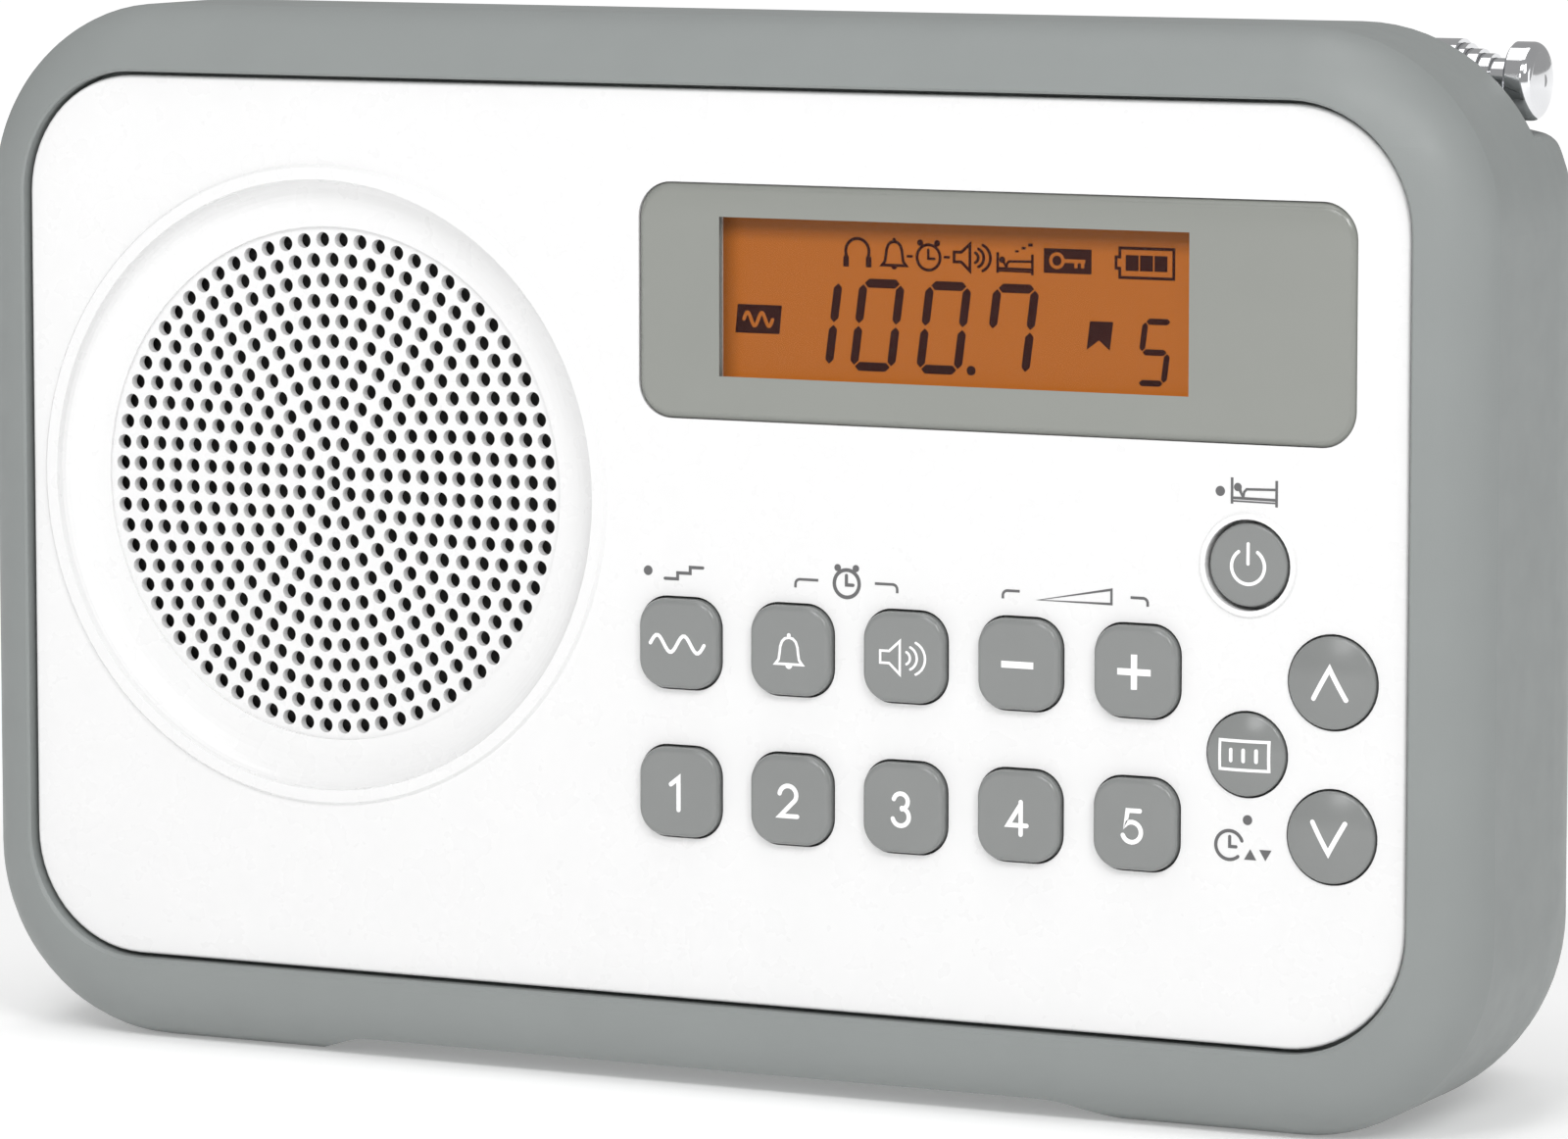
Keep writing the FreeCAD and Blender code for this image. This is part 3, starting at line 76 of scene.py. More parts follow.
class Nodes:
    """Short ways to add nodes to one material."""

    def __init__(self, name):
        self.material = bpy.data.materials.new(name)
        self.material.use_nodes = True
        self.tree = self.material.node_tree
        self.shader = self.tree.nodes["Principled BSDF"]
        self.coords = self.add("ShaderNodeTexCoord").outputs["Object"]

    def add(self, kind, **values):
        node = self.tree.nodes.new(kind)
        for key, value in values.items():
            setattr(node, key, value)
        return node

    def link(self, a, b):
        self.tree.links.new(a, b)

    def noise(self, size_mm, detail=3.0, stretch=(1, 1, 1)):
        """Noise whose blobs are about size_mm across."""
        mapping = self.add("ShaderNodeMapping")
        mapping.inputs["Scale"].default_value = stretch
        self.link(self.coords, mapping.inputs["Vector"])
        noise = self.add("ShaderNodeTexNoise")
        noise.inputs["Scale"].default_value = 1 / (size_mm * MM)
        noise.inputs["Detail"].default_value = detail
        self.link(mapping.outputs["Vector"], noise.inputs["Vector"])
        return noise.outputs["Fac"]

    def spread(self, value, low, high, from_low=0.3, from_high=0.7):
        node = self.add("ShaderNodeMapRange")
        ends = {"From Min": from_low, "From Max": from_high, "To Min": low, "To Max": high}
        for key, number in ends.items():
            node.inputs[key].default_value = number
        self.link(value, node.inputs["Value"])
        return node.outputs["Result"]

    def mix(self, factor, a, b):
        """Colour between a and b. Each is a colour or a socket."""
        node = self.add("ShaderNodeMix", data_type="RGBA")
        self.link(factor, node.inputs["Factor"])
        for key, value in (("A", a), ("B", b)):
            socket = [s for s in node.inputs if s.name == key and s.type == "RGBA"][0]
            if isinstance(value, tuple):
                socket.default_value = value
            else:
                self.link(value, socket)
        return [s for s in node.outputs if s.type == "RGBA"][0]

    def bump(self, height, depth_mm):
        node = self.add("ShaderNodeBump")
        node.inputs["Distance"].default_value = depth_mm * MM
        self.link(height, node.inputs["Height"])
        self.link(node.outputs["Normal"], self.shader.inputs["Normal"])

    def colour(self, socket):
        self.link(socket, self.shader.inputs["Base Color"])

    def set(self, **sockets):
        for key, value in sockets.items():
            self.shader.inputs[key.replace("_", " ")].default_value = value


def surface(name, colour, roughness, grain=0.25, depth=0.006, mottle=0.03, patch=9.0,
            gloss_change=0.04, **sockets):
    """Moulded or painted surface: fine grain, faint mottling, and gloss that varies a little."""
    n = Nodes(name)
    patches = n.noise(patch)
    n.colour(n.mix(n.spread(patches, 0, 1), scaled(colour, 1 - mottle), scaled(colour, 1 + mottle)))
    n.link(n.spread(n.noise(patch * 0.4), roughness - gloss_change, roughness + gloss_change),
           n.shader.inputs["Roughness"])
    n.bump(n.noise(grain, 4.0), depth)
    n.set(**sockets)
    return n.material


def metal(name, colour, roughness, stretch=(1, 1, 1), scratch=0.3, depth=0.002):
    """Metal with fine streaks along one axis, or even where stretch is (1, 1, 1)."""
    n = Nodes(name)
    streaks = n.noise(scratch, 5.0, stretch)
    n.colour(n.mix(n.spread(n.noise(6.0), 0, 1), scaled(colour, 0.94), colour))
    n.link(n.spread(streaks, roughness * 0.7, roughness * 1.4), n.shader.inputs["Roughness"])
    n.bump(streaks, depth)
    n.set(Metallic=1.0)
    return n.material


def circuit_board(name):
    """Green solder resist over tracks, which show as paler cells."""
    n = Nodes(name)
    tracks = n.add("ShaderNodeTexVoronoi", feature="DISTANCE_TO_EDGE", distance="MANHATTAN")
    tracks.inputs["Scale"].default_value = 1 / (3.5 * MM)
    n.link(n.coords, tracks.inputs["Vector"])
    lines = n.spread(tracks.outputs["Distance"], 1, 0, 0.04, 0.09)
    n.colour(n.mix(lines, srgb(20, 84, 48), srgb(36, 118, 68)))
    n.link(n.spread(n.noise(4.0), 0.25, 0.35), n.shader.inputs["Roughness"])
    n.bump(lines, 0.02)
    return n.material


def display_cell(name, z_top, x_left):
    """Lit liquid crystal cell: amber glow with a fine grain, and painted shade that darkens the glow along
    the window's upper and left edges.
    """
    n = Nodes(name)
    split = n.add("ShaderNodeSeparateXYZ")
    n.link(n.coords, split.inputs["Vector"])
    # Painted shade: the glow is darkened towards the window's upper and left edges, standing in for the
    # recess's shadow.
    painted_shade_top = n.spread(split.outputs["Z"], 1.0, 0.36, (z_top - 2.1) * MM, (z_top - 0.3) * MM)
    painted_shade_left = n.spread(split.outputs["X"], 0.45, 1.0, (x_left + 0.2) * MM, (x_left + 2.4) * MM)
    glow_and_painted_shade = n.spread(n.noise(0.35, 2.0), 0.94, 1.06)
    for shade in (painted_shade_top, painted_shade_left):
        product = n.add("ShaderNodeMath", operation="MULTIPLY")
        n.link(shade, product.inputs[0])
        n.link(glow_and_painted_shade, product.inputs[1])
        glow_and_painted_shade = product.outputs["Value"]
    grain = n.noise(0.35, 2.0)
    lit = n.mix(glow_and_painted_shade, srgb(14, 6, 2), srgb(170, 93, 22))
    n.colour(n.mix(grain, srgb(52, 28, 8), srgb(58, 32, 10)))
    n.link(lit, n.shader.inputs["Emission Color"])
    n.set(Emission_Strength=1.0, Roughness=0.35, Specular_IOR_Level=0.15)
    return n.material


def battery_sleeve(name, band_edges):
    """Dark sleeve with a copper-coloured band at each cell's positive end."""
    n = Nodes(name)
    split = n.add("ShaderNodeSeparateXYZ")
    n.link(n.coords, split.inputs["Vector"])
    ramp = n.add("ShaderNodeValToRGB")
    ramp.color_ramp.interpolation = "CONSTANT"
    n.link(n.spread(split.outputs["X"], 0, 1, -55 * MM, 55 * MM), ramp.inputs["Fac"])
    stops = ramp.color_ramp.elements
    stops[0].color = srgb(26, 30, 40)
    stops[1].position = (band_edges[0] + 55) / 110
    stops[1].color = srgb(176, 104, 52)
    for i, x in enumerate(band_edges[1:]):
        stop = stops.new((x + 55) / 110)
        stop.color = srgb(26, 30, 40) if i % 2 == 0 else srgb(176, 104, 52)
    n.colour(n.mix(n.spread(n.noise(3.0), 0, 0.12), ramp.outputs["Color"], srgb(120, 120, 120)))
    n.link(n.spread(n.noise(2.0), 0.25, 0.4), n.shader.inputs["Roughness"])
    n.set(Metallic=0.4)
    return n.material


CASE = surface("case_soft_grey", srgb(134, 138, 137), 0.50, grain=0.16, depth=0.010, mottle=0.015)
PANEL = surface("panel_white", srgb(228, 228, 228), 0.28, grain=0.5, depth=0.0015, mottle=0.006,
                gloss_change=0.02)
KEY = surface("key_grey", srgb(128, 130, 129), 0.21, grain=0.2, depth=0.004, mottle=0.02, gloss_change=0.03)
MASK = surface("mask_grey", srgb(154, 156, 151), 0.5, grain=0.3, depth=0.001, mottle=0.01)
WINDOW = surface("window_clear", srgb(110, 112, 108), 0.08, grain=2.0, depth=0.0008, mottle=0.01,
                 gloss_change=0.02, Alpha=0.03)
TINT = surface("window_tint", srgb(136, 138, 133), 0.20, grain=1.5, depth=0.0006, mottle=0.012, patch=16.0,
               gloss_change=0.03)
# Backlit display glow, with painted shade along its upper and left edges.
LCD = display_cell("lcd_amber", PANEL_Z + LCD_TOP, LCD_LEFT)
SEGMENT = surface("lcd_segment", srgb(44, 6, 4), 0.5, grain=0.3, depth=0.0005, mottle=0.05,
                  Specular_IOR_Level=0.05)
ACRYLIC = surface("guide_acrylic", srgb(232, 214, 170), 0.2, grain=0.8, depth=0.001, Alpha=0.8)
NYLON = surface("nylon_natural", srgb(218, 216, 205), 0.5)
SILICONE = surface("silicone_grey", srgb(140, 140, 138), 0.6, grain=0.3)
BOARD = circuit_board("board_green")
EPOXY = surface("component_black", srgb(34, 34, 36), 0.45, grain=0.12, depth=0.006)
TINPLATE = metal("tinplate", srgb(196, 196, 192), 0.32, (1, 1, 8))
FERRITE = surface("ferrite", srgb(58, 57, 56), 0.55, grain=0.3, depth=0.012, mottle=0.08)
COPPER = metal("copper_winding", srgb(186, 104, 60), 0.3, (12, 1, 1), 0.8, 0.02)
BASKET = metal("basket_zinc", srgb(168, 168, 164), 0.36)
PAPER = surface("cone_paper", srgb(40, 39, 38), 0.85, grain=0.4, depth=0.02, mottle=0.12)
FOAM = surface("gasket_foam", srgb(38, 38, 38), 0.95, grain=0.5, depth=0.05, mottle=0.1)
SLEEVE = battery_sleeve("battery_sleeve", (-52.0, -38.0, 2.0, 16.0))
NICKEL = metal("contact_nickel", srgb(196, 194, 186), 0.25)
CHROME = metal("antenna_chrome", srgb(226, 227, 229), 0.07, (1, 1, 1), 1.5, 0.0003)
ZINC = metal("screw_zinc", srgb(150, 150, 148), 0.35)
WIRE_RED = surface("wire_red", srgb(150, 32, 26), 0.45, grain=0.6)
WIRE_BLACK = surface("wire_black", srgb(34, 34, 36), 0.45, grain=0.6)
PRINT = surface("print_grey", srgb(96, 96, 97), 0.5, grain=0.3, depth=0.0008)
KEY_PRINT = surface("print_white", srgb(246, 246, 246), 0.45, grain=0.3, depth=0.0008, mottle=0.01)

LOOKS = {
    "front_frame": CASE, "rear_shell": CASE, "battery_door": CASE, "front_panel": PANEL,
    "speaker_grille": PANEL, "display_window": WINDOW, "window_mask": MASK, "lcd_glass": LCD,
    "light_guide": ACRYLIC, "lcd_frame": NYLON, "lcd_connector": SILICONE, "keypad_mat": SILICONE,
    "main_board": BOARD, "board_chips": EPOXY, "tuner_shield": TINPLATE, "board_capacitors": EPOXY,
    "ferrite_rod": FERRITE, "ferrite_coil": COPPER, "ferrite_clips": NYLON, "speaker_gasket": FOAM,
    "speaker_basket": BASKET, "speaker_magnet": FERRITE, "speaker_cone": PAPER, "jack_board": BOARD,
    "headphone_jack": EPOXY, "dc_jack": EPOXY, "lock_switch": TINPLATE, "lock_slider": KEY,
    "battery_cells": SLEEVE, "battery_contacts": NICKEL, "case_screws": ZINC, "board_screws": ZINC,
    "speaker_screws": ZINC, "speaker_leads": WIRE_BLACK, "battery_leads": WIRE_RED,
    "antenna_lead": WIRE_BLACK, "antenna_screw": ZINC,
}


def dress_nodes():
    for name, node in NODES.items():
        look = LOOKS.get(name)
        if look is None:
            look = KEY if name.startswith("key_") else CHROME
        for slot in node.material_slots:
            slot.material = look


# ---------------------------------------------------------------- flat marks

def arc(cx, cy, r, start, end, steps=12):
    """Points on an arc, angles in degrees."""
    angles = [math.radians(start + (end - start) * i / steps) for i in range(steps + 1)]
    return [Vector((cx + r * math.cos(a), cy + r * math.sin(a))) for a in angles]


def points(*pairs):
    return [Vector(p) for p in pairs]


def moved(path, dx, dy, k=1.0):
    return [Vector((dx + p.x * k, dy + p.y * k)) for p in path]


def disc(cx, cy, r, steps=24):
    return [[arc(cx, cy, r, 0, 360 - 360 / steps, steps - 1)]]


def fine(path, step):
    """The same path with more points, so that it can follow a curved face."""
    out = [path[0]]
    for a, b in zip(path, path[1:]):
        count = max(1, int((b - a).length / step))
        out += [a.lerp(b, (i + 1) / count) for i in range(count)]
    return out


def stroke(path, width, closed=False, round_ends=True):
    """One group of faces: a line of even width with mitred corners."""
    half = width / 2
    count = len(path)
    left, right = [], []
    for i, p in enumerate(path):
        ways = []
        if i > 0 or closed:
            ways.append((p - path[i - 1]).normalized())
        if i < count - 1 or closed:
            ways.append((path[(i + 1) % count] - p).normalized())
        middle = sum(ways, Vector((0, 0))).normalized()
        normal = Vector((-middle.y, middle.x))
        across = Vector((-ways[0].y, ways[0].x))
        reach = half / max(0.4, normal.dot(across))
        left.append(p + normal * reach)
        right.append(p - normal * reach)
    last = count if closed else count - 1
    quads = [[left[i], left[(i + 1) % count], right[(i + 1) % count], right[i]] for i in range(last)]
    if round_ends and not closed:
        quads.append(half_disc(path[0], left[0], path[0] - path[1]))
        quads.append(half_disc(path[-1], right[-1], path[-1] - path[-2]))
    return [quads]


def half_disc(centre, start, way):
    """Round end of a stroke: half a turn from start, bulging towards way."""
    spoke = start - centre
    turn = 1 if spoke.x * way.y - spoke.y * way.x > 0 else -1
    r = spoke.length
    a = math.degrees(math.atan2(spoke.y, spoke.x))
    return arc(centre.x, centre.y, r, a, a + turn * 180, 8)


def ring(cx, cy, r, width, steps=32):
    return stroke(arc(cx, cy, r, 0, 360 - 360 / steps, steps - 1), width, closed=True)


def bar(x0, x1, y0, y1):
    return polygon((x0, y0), (x1, y0), (x1, y1), (x0, y1))


def polygon(*pairs):
    return [[points(*pairs)]]


def on_panel(x0, z0, y0=PANEL_Y):
    """Places a mark on a flat face that looks along -Y."""
    def place(u, v, h):
        return Vector((x0 + u, y0 - h, PANEL_Z + z0 + v)) * MM
    return place


def on_dome(x0, z0, front, r, crown):
    """Places a mark on a round key's domed face."""
    sphere = (r * r + crown * crown) / (2 * crown)

    def place(u, v, h):
        sag = sphere - math.sqrt(sphere * sphere - u * u - v * v)
        return Vector((x0 + u, front + sag - h, PANEL_Z + z0 + v)) * MM
    return place


def prism(mesh, faces, top):
    """Adds one group of touching faces to the mesh as a thin closed solid."""
    part = bmesh.new()
    for face in faces:
        part.faces.new([part.verts.new((p.x, p.y, top)) for p in face])
    bmesh.ops.remove_doubles(part, verts=part.verts, dist=1e-4)
    lower = bmesh.ops.extrude_face_region(part, geom=part.faces[:])
    for v in [g for g in lower["geom"] if isinstance(g, bmesh.types.BMVert)]:
        v.co.z = -PRINT_ROOT
    bmesh.ops.recalc_face_normals(part, faces=part.faces)
    data = bpy.data.meshes.new("group")
    part.to_mesh(data)
    part.free()
    mesh.from_mesh(data)
    bpy.data.meshes.remove(data)


def mark(name, groups, place, look, body, thickness=PRINT_T):
    """One thin raised piece laid on a surface. Groups that cross differ a little in height."""
    mesh = bmesh.new()
    for i, faces in enumerate(groups):
        prism(mesh, faces, thickness + PRINT_STEP * (i % 4))
    for v in mesh.verts:
        v.co = place(*v.co)
    bmesh.ops.recalc_face_normals(mesh, faces=mesh.faces)
    add_piece(name, mesh, look, body)


def add_piece(name, mesh, look, body, smooth=False):
    """Turns a bmesh into a piece that rides a body of the object."""
    data = bpy.data.meshes.new(name)
    mesh.to_mesh(data)
    mesh.free()
    if smooth:
        data.shade_smooth()
        data.set_sharp_from_angle(angle=math.radians(40))
    data.materials.append(look)
    piece = bpy.data.objects.new(name, data)
    bpy.context.scene.collection.objects.link(piece)
    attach(piece, body)


# ---------------------------------------------------------------- symbols, about their own centres

def alarm_clock(r, width):
    k = r / 1.6
    faces = ring(0, 0, r, width)
    for side in (-1, 1):
        faces += disc(side * 1.17 * k, 1.82 * k, 0.42 * k, 16)
    hands = points((-0.04 * k, 0.95 * k), (-0.04 * k, -0.15 * k), (0.8 * k, -0.15 * k))
    faces += stroke(hands, width * 0.9)
    return faces


def bell(width, k=1.0):
    half = points((-1.69, -1.5), (-1.28, -1.0), (-1.16, -0.3), (-1.08, 0.45), (-0.86, 1.05), (-0.5, 1.4),
                  (0, 1.52))
    outline = half + [Vector((-p.x, p.y)) for p in reversed(half[:-1])]
    faces = stroke(moved(outline, 0, 0, k), width, closed=True)
    faces += disc(0, 1.78 * k, 0.24 * k, 14)
    faces.append([arc(0, -1.62 * k, 0.42 * k, 180, 360, 10)])
    return faces


def loudspeaker(width, k=1.0, waves=3):
    box = points((-2.72, 0.7), (-1.62, 0.7), (-0.3, 1.87), (-0.3, -1.87), (-1.62, -0.66), (-2.72, -0.66))
    faces = stroke(moved(box, 0, 0, k), width, closed=True)
    for cx, r in ((0.22, 0.74), (0.45, 1.36), (0.88, 1.95))[:waves]:
        faces += stroke(moved(arc(cx, 0, r, -66, 66, 10), 0, 0, k), width)
    return faces


def bed(width, k=1.0):
    faces = stroke(moved(points((-2.63, 1.45), (-2.63, -1.43)), 0, 0, k), width, round_ends=False)
    faces += stroke(moved(points((2.63, 1.29), (2.63, -1.61)), 0, 0, k), width, round_ends=False)
    faces += stroke(moved(points((-2.63, -0.78), (2.63, -0.84)), 0, 0, k), width, round_ends=False)
    faces += stroke(moved(points((-2.63, -1.12), (2.63, -1.18)), 0, 0, k), width * 0.6, round_ends=False)
    cover = points((-1.32, -0.75), (-1.2, -0.1), (-0.9, 0.22), (2.6, 0.3))
    faces += stroke(moved(cover, 0, 0, k), width * 0.9)
    faces += disc(-1.95 * k, 0.42 * k, 0.46 * k, 16)
    faces.append([moved(points((-1.9, 0.1), (-1.55, 0.25), (-1.3, -0.55), (-1.45, -0.7)), 0, 0, k)])
    return faces


def headphones(width, k=1.0):
    band = points((-1.25, -0.9)) + arc(0, 0.1, 1.45, 200, -20, 16) + points((1.25, -0.9))
    faces = stroke(moved(band, 0, 0, k), width)
    for side in (-1, 1):
        x0, x1 = sorted((side * 1.05 * k, side * 1.75 * k))
        faces += bar(x0, x1, -1.65 * k, -0.45 * k)
    return faces


def bracket(x0, x1, top, drop, width):
    """Line with one end turned down: the end at x0."""
    way = 1 if x1 > x0 else -1
    r = 0.55
    corner = arc(x0 + way * r, top - r, r, 180 if way > 0 else 0, 90, 6)
    return stroke(points((x0, top - drop)) + corner + points((x1, top)), width, round_ends=False)


def wave(length, height, width, periods=2):
    count = 14 * periods
    path = [Vector((length * (i / count - 0.5), height * math.sin(2 * math.pi * periods * i / count)))
            for i in range(count + 1)]
    return stroke(path, width)


DIGITS = {
    1: [points((0.12, 0.77), (0.38, 0.97), (0.38, 0.0))],
    2: [arc(0.31, 0.69, 0.28, 172, -32, 14) + points((0.05, 0.05), (0.62, 0.05))],
    3: [arc(0.30, 0.74, 0.235, 165, -80, 14), arc(0.30, 0.275, 0.27, 82, -165, 16)],
    4: [points((0.47, 0.0), (0.47, 0.97)), points((0.47, 0.90), (0.06, 0.27), (0.66, 0.27))],
    5: [points((0.55, 0.95), (0.16, 0.95), (0.10, 0.53)) + arc(0.29, 0.31, 0.30, 118, -160, 16)],
}


def digit(number, height, width):
    faces = []
    for path in DIGITS[number]:
        faces += stroke(moved(path, -0.34 * height, -0.5 * height, height), width)
    return faces


# ---------------------------------------------------------------- print on the panel and the keys

def panel_mark(name, faces, x, z):
    mark("print_" + name, faces, on_panel(x, z), PRINT, "cabinet")


def key_mark(key, faces, place):
    mark("mark_" + key, faces, place, KEY_PRINT, key)


def print_panel():
    stairs = points((-3.2, -0.7), (-1.6, -0.7), (-1.6, 0.0), (0.0, 0.0), (0.0, 0.7), (1.6, 0.7))
    panel_mark("step", disc(-5.36, 0.1, 0.56, 18) + stroke(moved(stairs, 0, 0), 0.36), 0, -3.0)
    faces = alarm_clock(1.55, 0.42)
    faces += bracket(-6.4, -3.55, 0.2, 0.95, 0.3)
    faces += bracket(6.26, 3.5, 0.2, 0.95, 0.3)
    panel_mark("alarm", faces, 19.67, -3.15)
    wedge = points((-4.4, -0.75), (4.4, -0.75), (4.4, 0.85))
    faces = stroke(wedge, 0.28, closed=True) + bracket(-8.75, -6.7, 0.1, 0.9, 0.3)
    faces += bracket(8.75, 6.7, 0.1, 0.9, 0.3)
    panel_mark("volume", faces, 47.65, -3.0)
    panel_mark("sleep", disc(-4.02, -0.1, 0.56, 18) + bed(0.3), 68.98, 9.5)
    panel_mark("clock_dot", disc(0, 0, 0.56, 18), 68.45, -26.75)
    faces = stroke(arc(0, 0, 1.6, 20, 310, 26), 0.38)
    faces += stroke(points((0.05, 0.95), (0.05, -0.15), (0.8, -0.15)), 0.36)
    for x, turn in ((2.5, 1), (4.3, -1)):
        base = -0.9 - 0.6 * turn
        faces += polygon((x - 0.72, base), (x + 0.72, base), (x, -0.9 + 0.6 * turn))
    panel_mark("clock_set", faces, 66.3, -29.65)


def print_keys():
    row_1, row_2 = KEY_ROWS
    flat = {
        "key_band": (wave(6.8, 0.95, 0.42), 0),
        "key_alarm_buzzer": (bell(0.3), 1),
        "key_alarm_radio": (loudspeaker(0.28), 2),
        "key_volume_down": (bar(-1.95, 1.95, -0.38, 0.38), 3),
        "key_volume_up": (bar(-2.0, 2.0, -0.37, 0.37) + bar(-0.37, 0.37, -1.95, 1.95), 4),
    }
    for key, (faces, i) in flat.items():
        key_mark(key, faces, on_panel(KEY_X[i], row_1, KEY_FACE_Y))
    for i in range(5):
        place = on_panel(KEY_X[i], row_2 - 0.1, KEY_FACE_Y)
        key_mark("key_preset_%d" % (i + 1), digit(i + 1, 3.75, 0.52), place)
    up = fine(points((-1.9, -1.7), (0, 1.65), (1.9, -1.7)), 0.4)
    down = [Vector((p.x, -p.y)) for p in up]
    key_mark("key_tune_up", stroke(up, 0.55), on_dome(TUNE_X, row_1, KEY_FACE_Y, TUNE_R, CROWN))
    key_mark("key_tune_down", stroke(down, 0.55), on_dome(TUNE_X, row_2, KEY_FACE_Y, TUNE_R, CROWN))
    screen = fine(points((-2.9, -1.6), (2.9, -1.6), (2.9, 1.6), (-2.9, 1.6), (-2.9, -1.6)), 0.5)[:-1]
    faces = stroke(screen, 0.34, closed=True)
    for x in (-1.5, 0.0, 1.5):
        faces += stroke(fine(points((x, -0.6), (x, 0.6)), 0.4), 0.42)
    key_mark("key_display", faces, on_dome(SIDE_X, (row_1 + row_2) / 2, KEY_FACE_Y, SIDE_R, CROWN))
    faces = stroke(arc(0, -0.15, 1.95, 125, 415, 30), 0.38) + stroke(points((0, 0.15), (0, 2.35)), 0.38)
    key_mark("key_power", faces, on_dome(SIDE_X, 1.4, POWER_FACE_Y, SIDE_R, POWER_CROWN))


# ---------------------------------------------------------------- window tint

def rounded_loop(inset, y, steps=10):
    """Points round the window's outline, moved in by inset."""
    r = WINDOW_R - inset
    loop = []
    for i, (x, z) in enumerate(((1, 1), (0, 1), (0, 0), (1, 0))):
        cx = WINDOW_X[x] + (WINDOW_R if x == 0 else -WINDOW_R)
        cz = WINDOW_Z[z] + (WINDOW_R if z == 0 else -WINDOW_R)
        loop += [Vector((p.x, y, PANEL_Z + p.y)) * MM for p in arc(cx, cz, r, 90 * i, 90 * i + 90, steps)]
    return loop


def clear_loop(y, steps=10):
    """Rectangle of the clear area, with as many points as rounded_loop."""
    loop = []
    for x, z in ((1, 1), (0, 1), (0, 0), (1, 0)):
        loop += [Vector((CLEAR_X[x], y, PANEL_Z + CLEAR_Z[z])) * MM] * (steps + 1)
    return loop


def tint_window():
    """Grey film on the window's face and bevel, open over the display."""
    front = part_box("display_window")[0].y / MM
    rounding = [(0.85, -0.028), (0.66, -0.012), (0.5, 0.05), (0.3, 0.24), (0.12, 0.42), (0.0, 0.55)]
    loops = [clear_loop(front - 0.03)] + [rounded_loop(inset, front + y) for inset, y in rounding]
    loops += [rounded_loop(0.12, front + 0.6), rounded_loop(0.8, front + 0.1), clear_loop(front + 0.02)]
    mesh = bmesh.new()
    rings = [[mesh.verts.new(p) for p in loop] for loop in loops]
    count = len(rings[0])
    for i, here in enumerate(rings):
        after = rings[(i + 1) % len(rings)]
        for k in range(count):
            mesh.faces.new([here[k], here[(k + 1) % count], after[(k + 1) % count], after[k]])
    bmesh.ops.remove_doubles(mesh, verts=mesh.verts, dist=1e-7)
    bmesh.ops.recalc_face_normals(mesh, faces=mesh.faces)
    add_piece("window_tint", mesh, TINT, "cabinet", smooth=True)


# ---------------------------------------------------------------- display

SEGMENTS = {"1": "bc", "0": "abcdef", "7": "abcf", "5": "afgcd"}


def seven_segments(char, width, height, t, slant=0.13):
    """Slanted digit from its lower left corner. Each segment has mitred ends."""
    gap = 0.11 * t / 0.85
    mid = height / 2
    w, h = width - t, (height - t) / 2

    def level(y):
        return [(0.5 * t + gap, y), (t + gap, y + t / 2), (w - gap, y + t / 2), (w + 0.5 * t - gap, y),
                (w - gap, y - t / 2), (t + gap, y - t / 2)]

    def upright(x, y):
        return [(x, y + gap), (x + t / 2, y + t / 2 + gap), (x + t / 2, y + h - t / 2 - gap),
                (x, y + h - gap), (x - t / 2, y + h - t / 2 - gap), (x - t / 2, y + t / 2 + gap)]

    shapes = {
        "a": level(height - t / 2), "g": level(mid), "d": level(t / 2),
        "f": upright(t / 2, mid), "b": upright(width - t / 2, mid),
        "e": upright(t / 2, t / 2), "c": upright(width - t / 2, t / 2),
    }
    return [[[Vector((x + slant * y, y)) for x, y in shapes[s]]] for s in SEGMENTS[char]]


def shift(groups, dx, dy, k=1.0):
    return [[moved(face, dx, dy, k) for face in faces] for faces in groups]


def draw_display():
    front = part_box("lcd_glass")[0].y / MM
    faces = []
    for char, x in zip("1007", (11.15, 18.85, 27.05, 35.3)):
        faces += shift(seven_segments(char, 5.6, 10.4, 1.02), x, 20.65)
    faces += disc(33.9, 21.2, 0.55, 18)
    faces += shift(seven_segments("5", 3.75, 7.5, 0.7), 53.7, 20.3)
    faces += shift(polygon((-1.3, 1.6), (1.5, 1.6), (1.1, -1.6), (-0.2, -0.5), (-1.7, -1.6)), 49.6, 25.65)
    faces += polygon((4.6, 24.4), (10.15, 24.4), (10.45, 27.65), (4.9, 27.65))
    faces += bar(42.7, 48.45, 32.4, 35.15)
    faces += draw_status_row()
    mark("lcd_segments", faces, on_panel(0, 0, front), SEGMENT, "cabinet")
    clear = shift(wave(3.6, 0.75, 0.4), 7.5, 26.0)
    clear += shift(ring(0, 0, 0.75, 0.36, 20), 44.3, 33.8)
    clear += shift(stroke(points((0.75, 0), (3.4, 0)), 0.4, round_ends=False), 44.3, 33.8)
    for x in (46.6, 47.4):
        clear += bar(x - 0.18, x + 0.18, 33.05, 33.65)
    mark("lcd_cutouts", clear, on_panel(0, 0, front - 2 * PRINT_T), LCD, "cabinet")


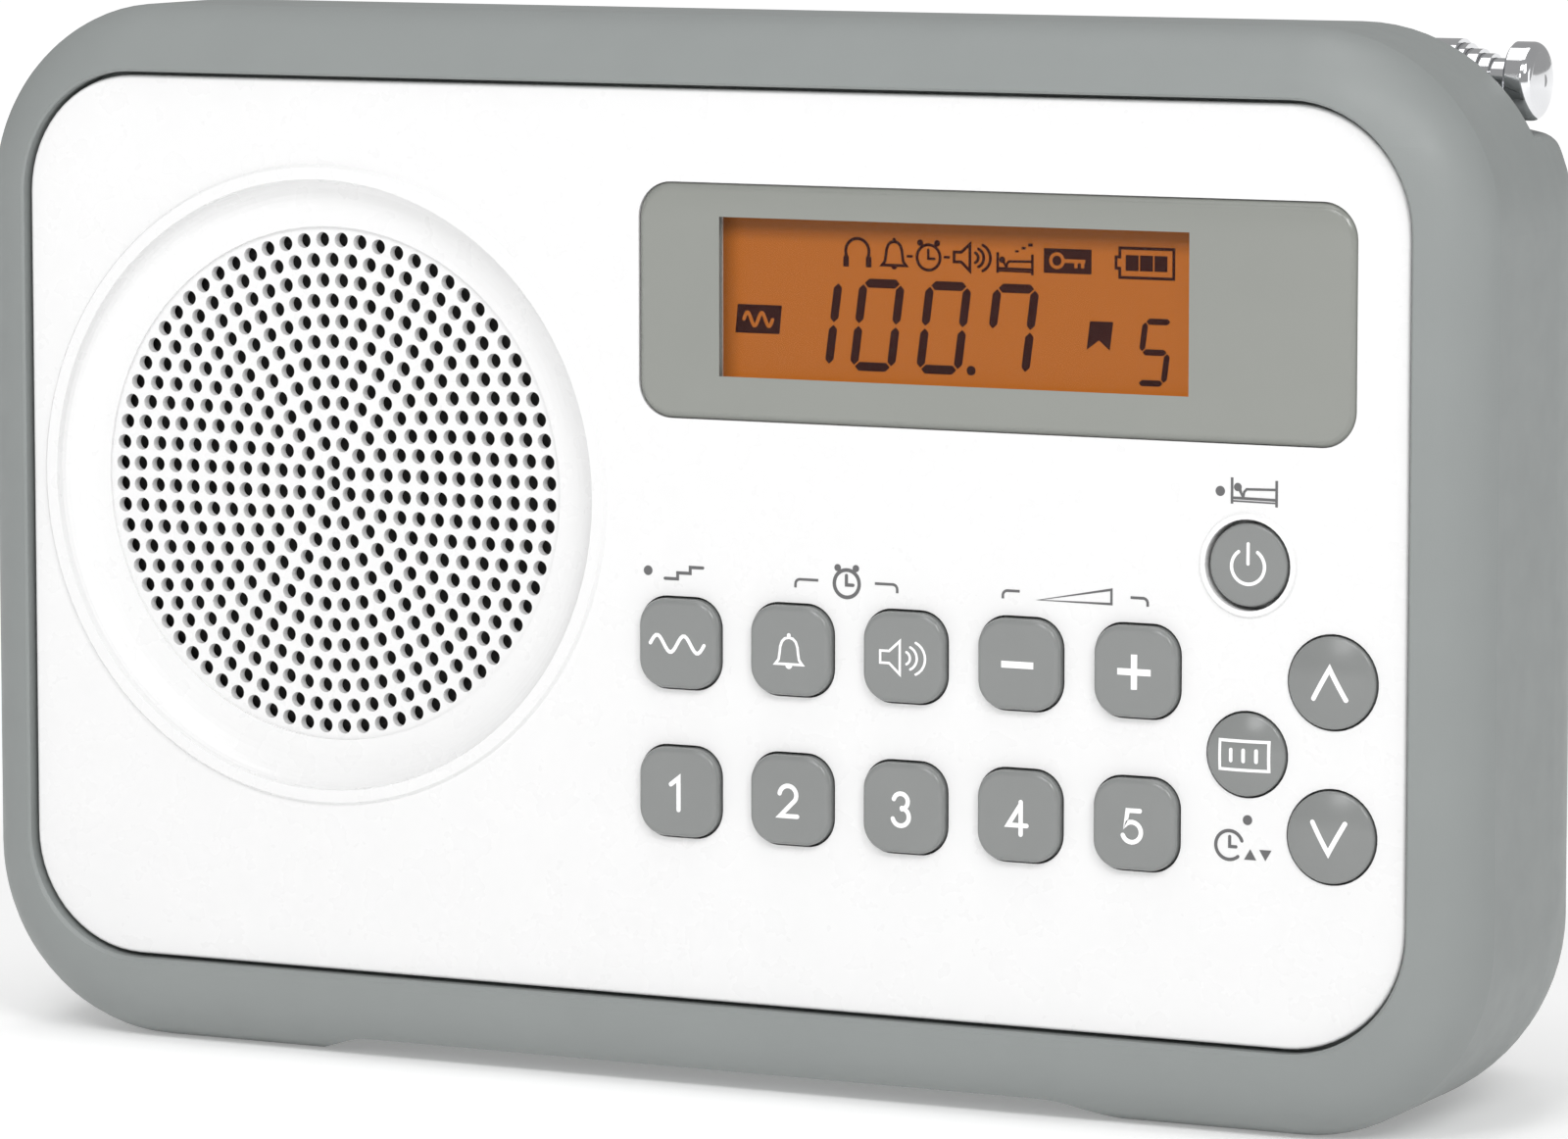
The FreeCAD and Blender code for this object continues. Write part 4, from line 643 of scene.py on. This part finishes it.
def draw_status_row():
    """Row of small symbols along the top of the display."""
    faces = shift(headphones(0.36), 19.85, 33.95)
    faces += shift(bell(0.34, 0.88), 24.4, 33.95)
    faces += bar(25.95, 26.7, 33.55, 33.85) + bar(30.5, 31.25, 33.6, 33.9)
    faces += shift(alarm_clock(1.42, 0.34), 28.64, 33.65)
    faces += shift(loudspeaker(0.34, 0.8), 33.95, 33.8)
    faces += shift(bed(0.32, 0.8), 39.2, 33.35)
    for i in range(3):
        faces += bar(39.2 + 0.8 * i, 39.65 + 0.85 * i, 34.55 + 0.35 * i, 34.8 + 0.4 * i)
    case = points((51.4, 33.2), (51.85, 33.2), (51.85, 32.2), (58.3, 32.2), (58.3, 35.45), (51.85, 35.45),
                  (51.85, 34.45), (51.4, 34.45))
    faces += stroke(case, 0.34, closed=True)
    for i in range(3):
        faces += bar(52.55 + 1.72 * i, 54.1 + 1.72 * i, 32.95, 34.7)
    return faces


# ---------------------------------------------------------------- stage

def studio_white(name):
    """White floor. Away from the object it glows a little, so that it stays white to the horizon."""
    n = Nodes(name)
    far = n.add("ShaderNodeVectorMath", operation="LENGTH")
    n.link(n.coords, far.inputs[0])
    n.link(n.spread(far.outputs["Value"], 0.22, 0.66, 0.2, 1.6), n.shader.inputs["Emission Strength"])
    n.colour(n.mix(n.noise(300.0), srgb(246, 246, 246), srgb(248, 248, 248)))
    n.link(n.spread(n.noise(80.0), 0.55, 0.65), n.shader.inputs["Roughness"])
    n.set(Emission_Color=(1.0, 1.0, 1.0, 1.0))
    return n.material


def make_floor():
    size = 12.0
    data = bpy.data.meshes.new("floor")
    corner = [(-size, -size, 0), (size, -size, 0), (size, size, 0), (-size, size, 0)]
    data.from_pydata(corner, [], [(0, 1, 2, 3)])
    data.materials.append(studio_white("floor_white"))
    floor = bpy.data.objects.new("floor", data)
    bpy.context.scene.collection.objects.link(floor)


def area_light(name, place, target, width, height, glow_and_painted_shade, diffuse=1.0):
    lamp = bpy.data.lights.new(name, "AREA")
    lamp.shape = "RECTANGLE"
    lamp.size, lamp.size_y, lamp.energy = width, height, glow_and_painted_shade
    lamp.diffuse_factor = diffuse
    light = bpy.data.objects.new(name, lamp)
    light.location = place
    light.rotation_euler = (Vector(target) - Vector(place)).to_track_quat("-Z", "Y").to_euler()
    light.visible_camera = False
    bpy.context.scene.collection.objects.link(light)


def make_lights():
    aim = (0, 0, 0.06)
    area_light("key_light", (1.1, -1.1, 1.15), aim, 0.6, 0.7, 12.0)
    area_light("front_light", (0.1, -1.2, 1.15), aim, 0.6, 0.4, 6.5)
    area_light("top_light", (-0.1, 0.0, 1.5), aim, 1.2, 0.8, 6.0)
    area_light("sheen_light", (-0.25, -1.4, 0.55), aim, 0.35, 0.25, 1.4, diffuse=0.0)
    area_light("right_light", (1.4, 0.1, 0.25), aim, 0.5, 0.5, 0.9)
    world = bpy.data.worlds.new("studio")
    world.use_nodes = True
    background = world.node_tree.nodes["Background"]
    background.inputs["Color"].default_value = (1.0, 1.0, 1.0, 1.0)
    background.inputs["Strength"].default_value = 0.40
    bpy.context.scene.world = world
    bpy.context.scene.view_settings.view_transform = "Standard"


def make_camera():
    camera = bpy.data.objects.new("camera", bpy.data.cameras.new("camera"))
    camera.data.lens = 171.54
    camera.data.sensor_width = 36.0
    camera.data.clip_start, camera.data.clip_end = 0.05, 60.0
    camera.location = (0.37946, -0.77873, 0.15691)
    camera.rotation_euler = Euler((math.radians(90 - 6.574), 0, math.radians(26.085)), "XYZ")
    bpy.context.scene.collection.objects.link(camera)
    bpy.context.scene.camera = camera


make_camera()
make_lights()
make_floor()
dress_nodes()
print_panel()
print_keys()
tint_window()
draw_display()
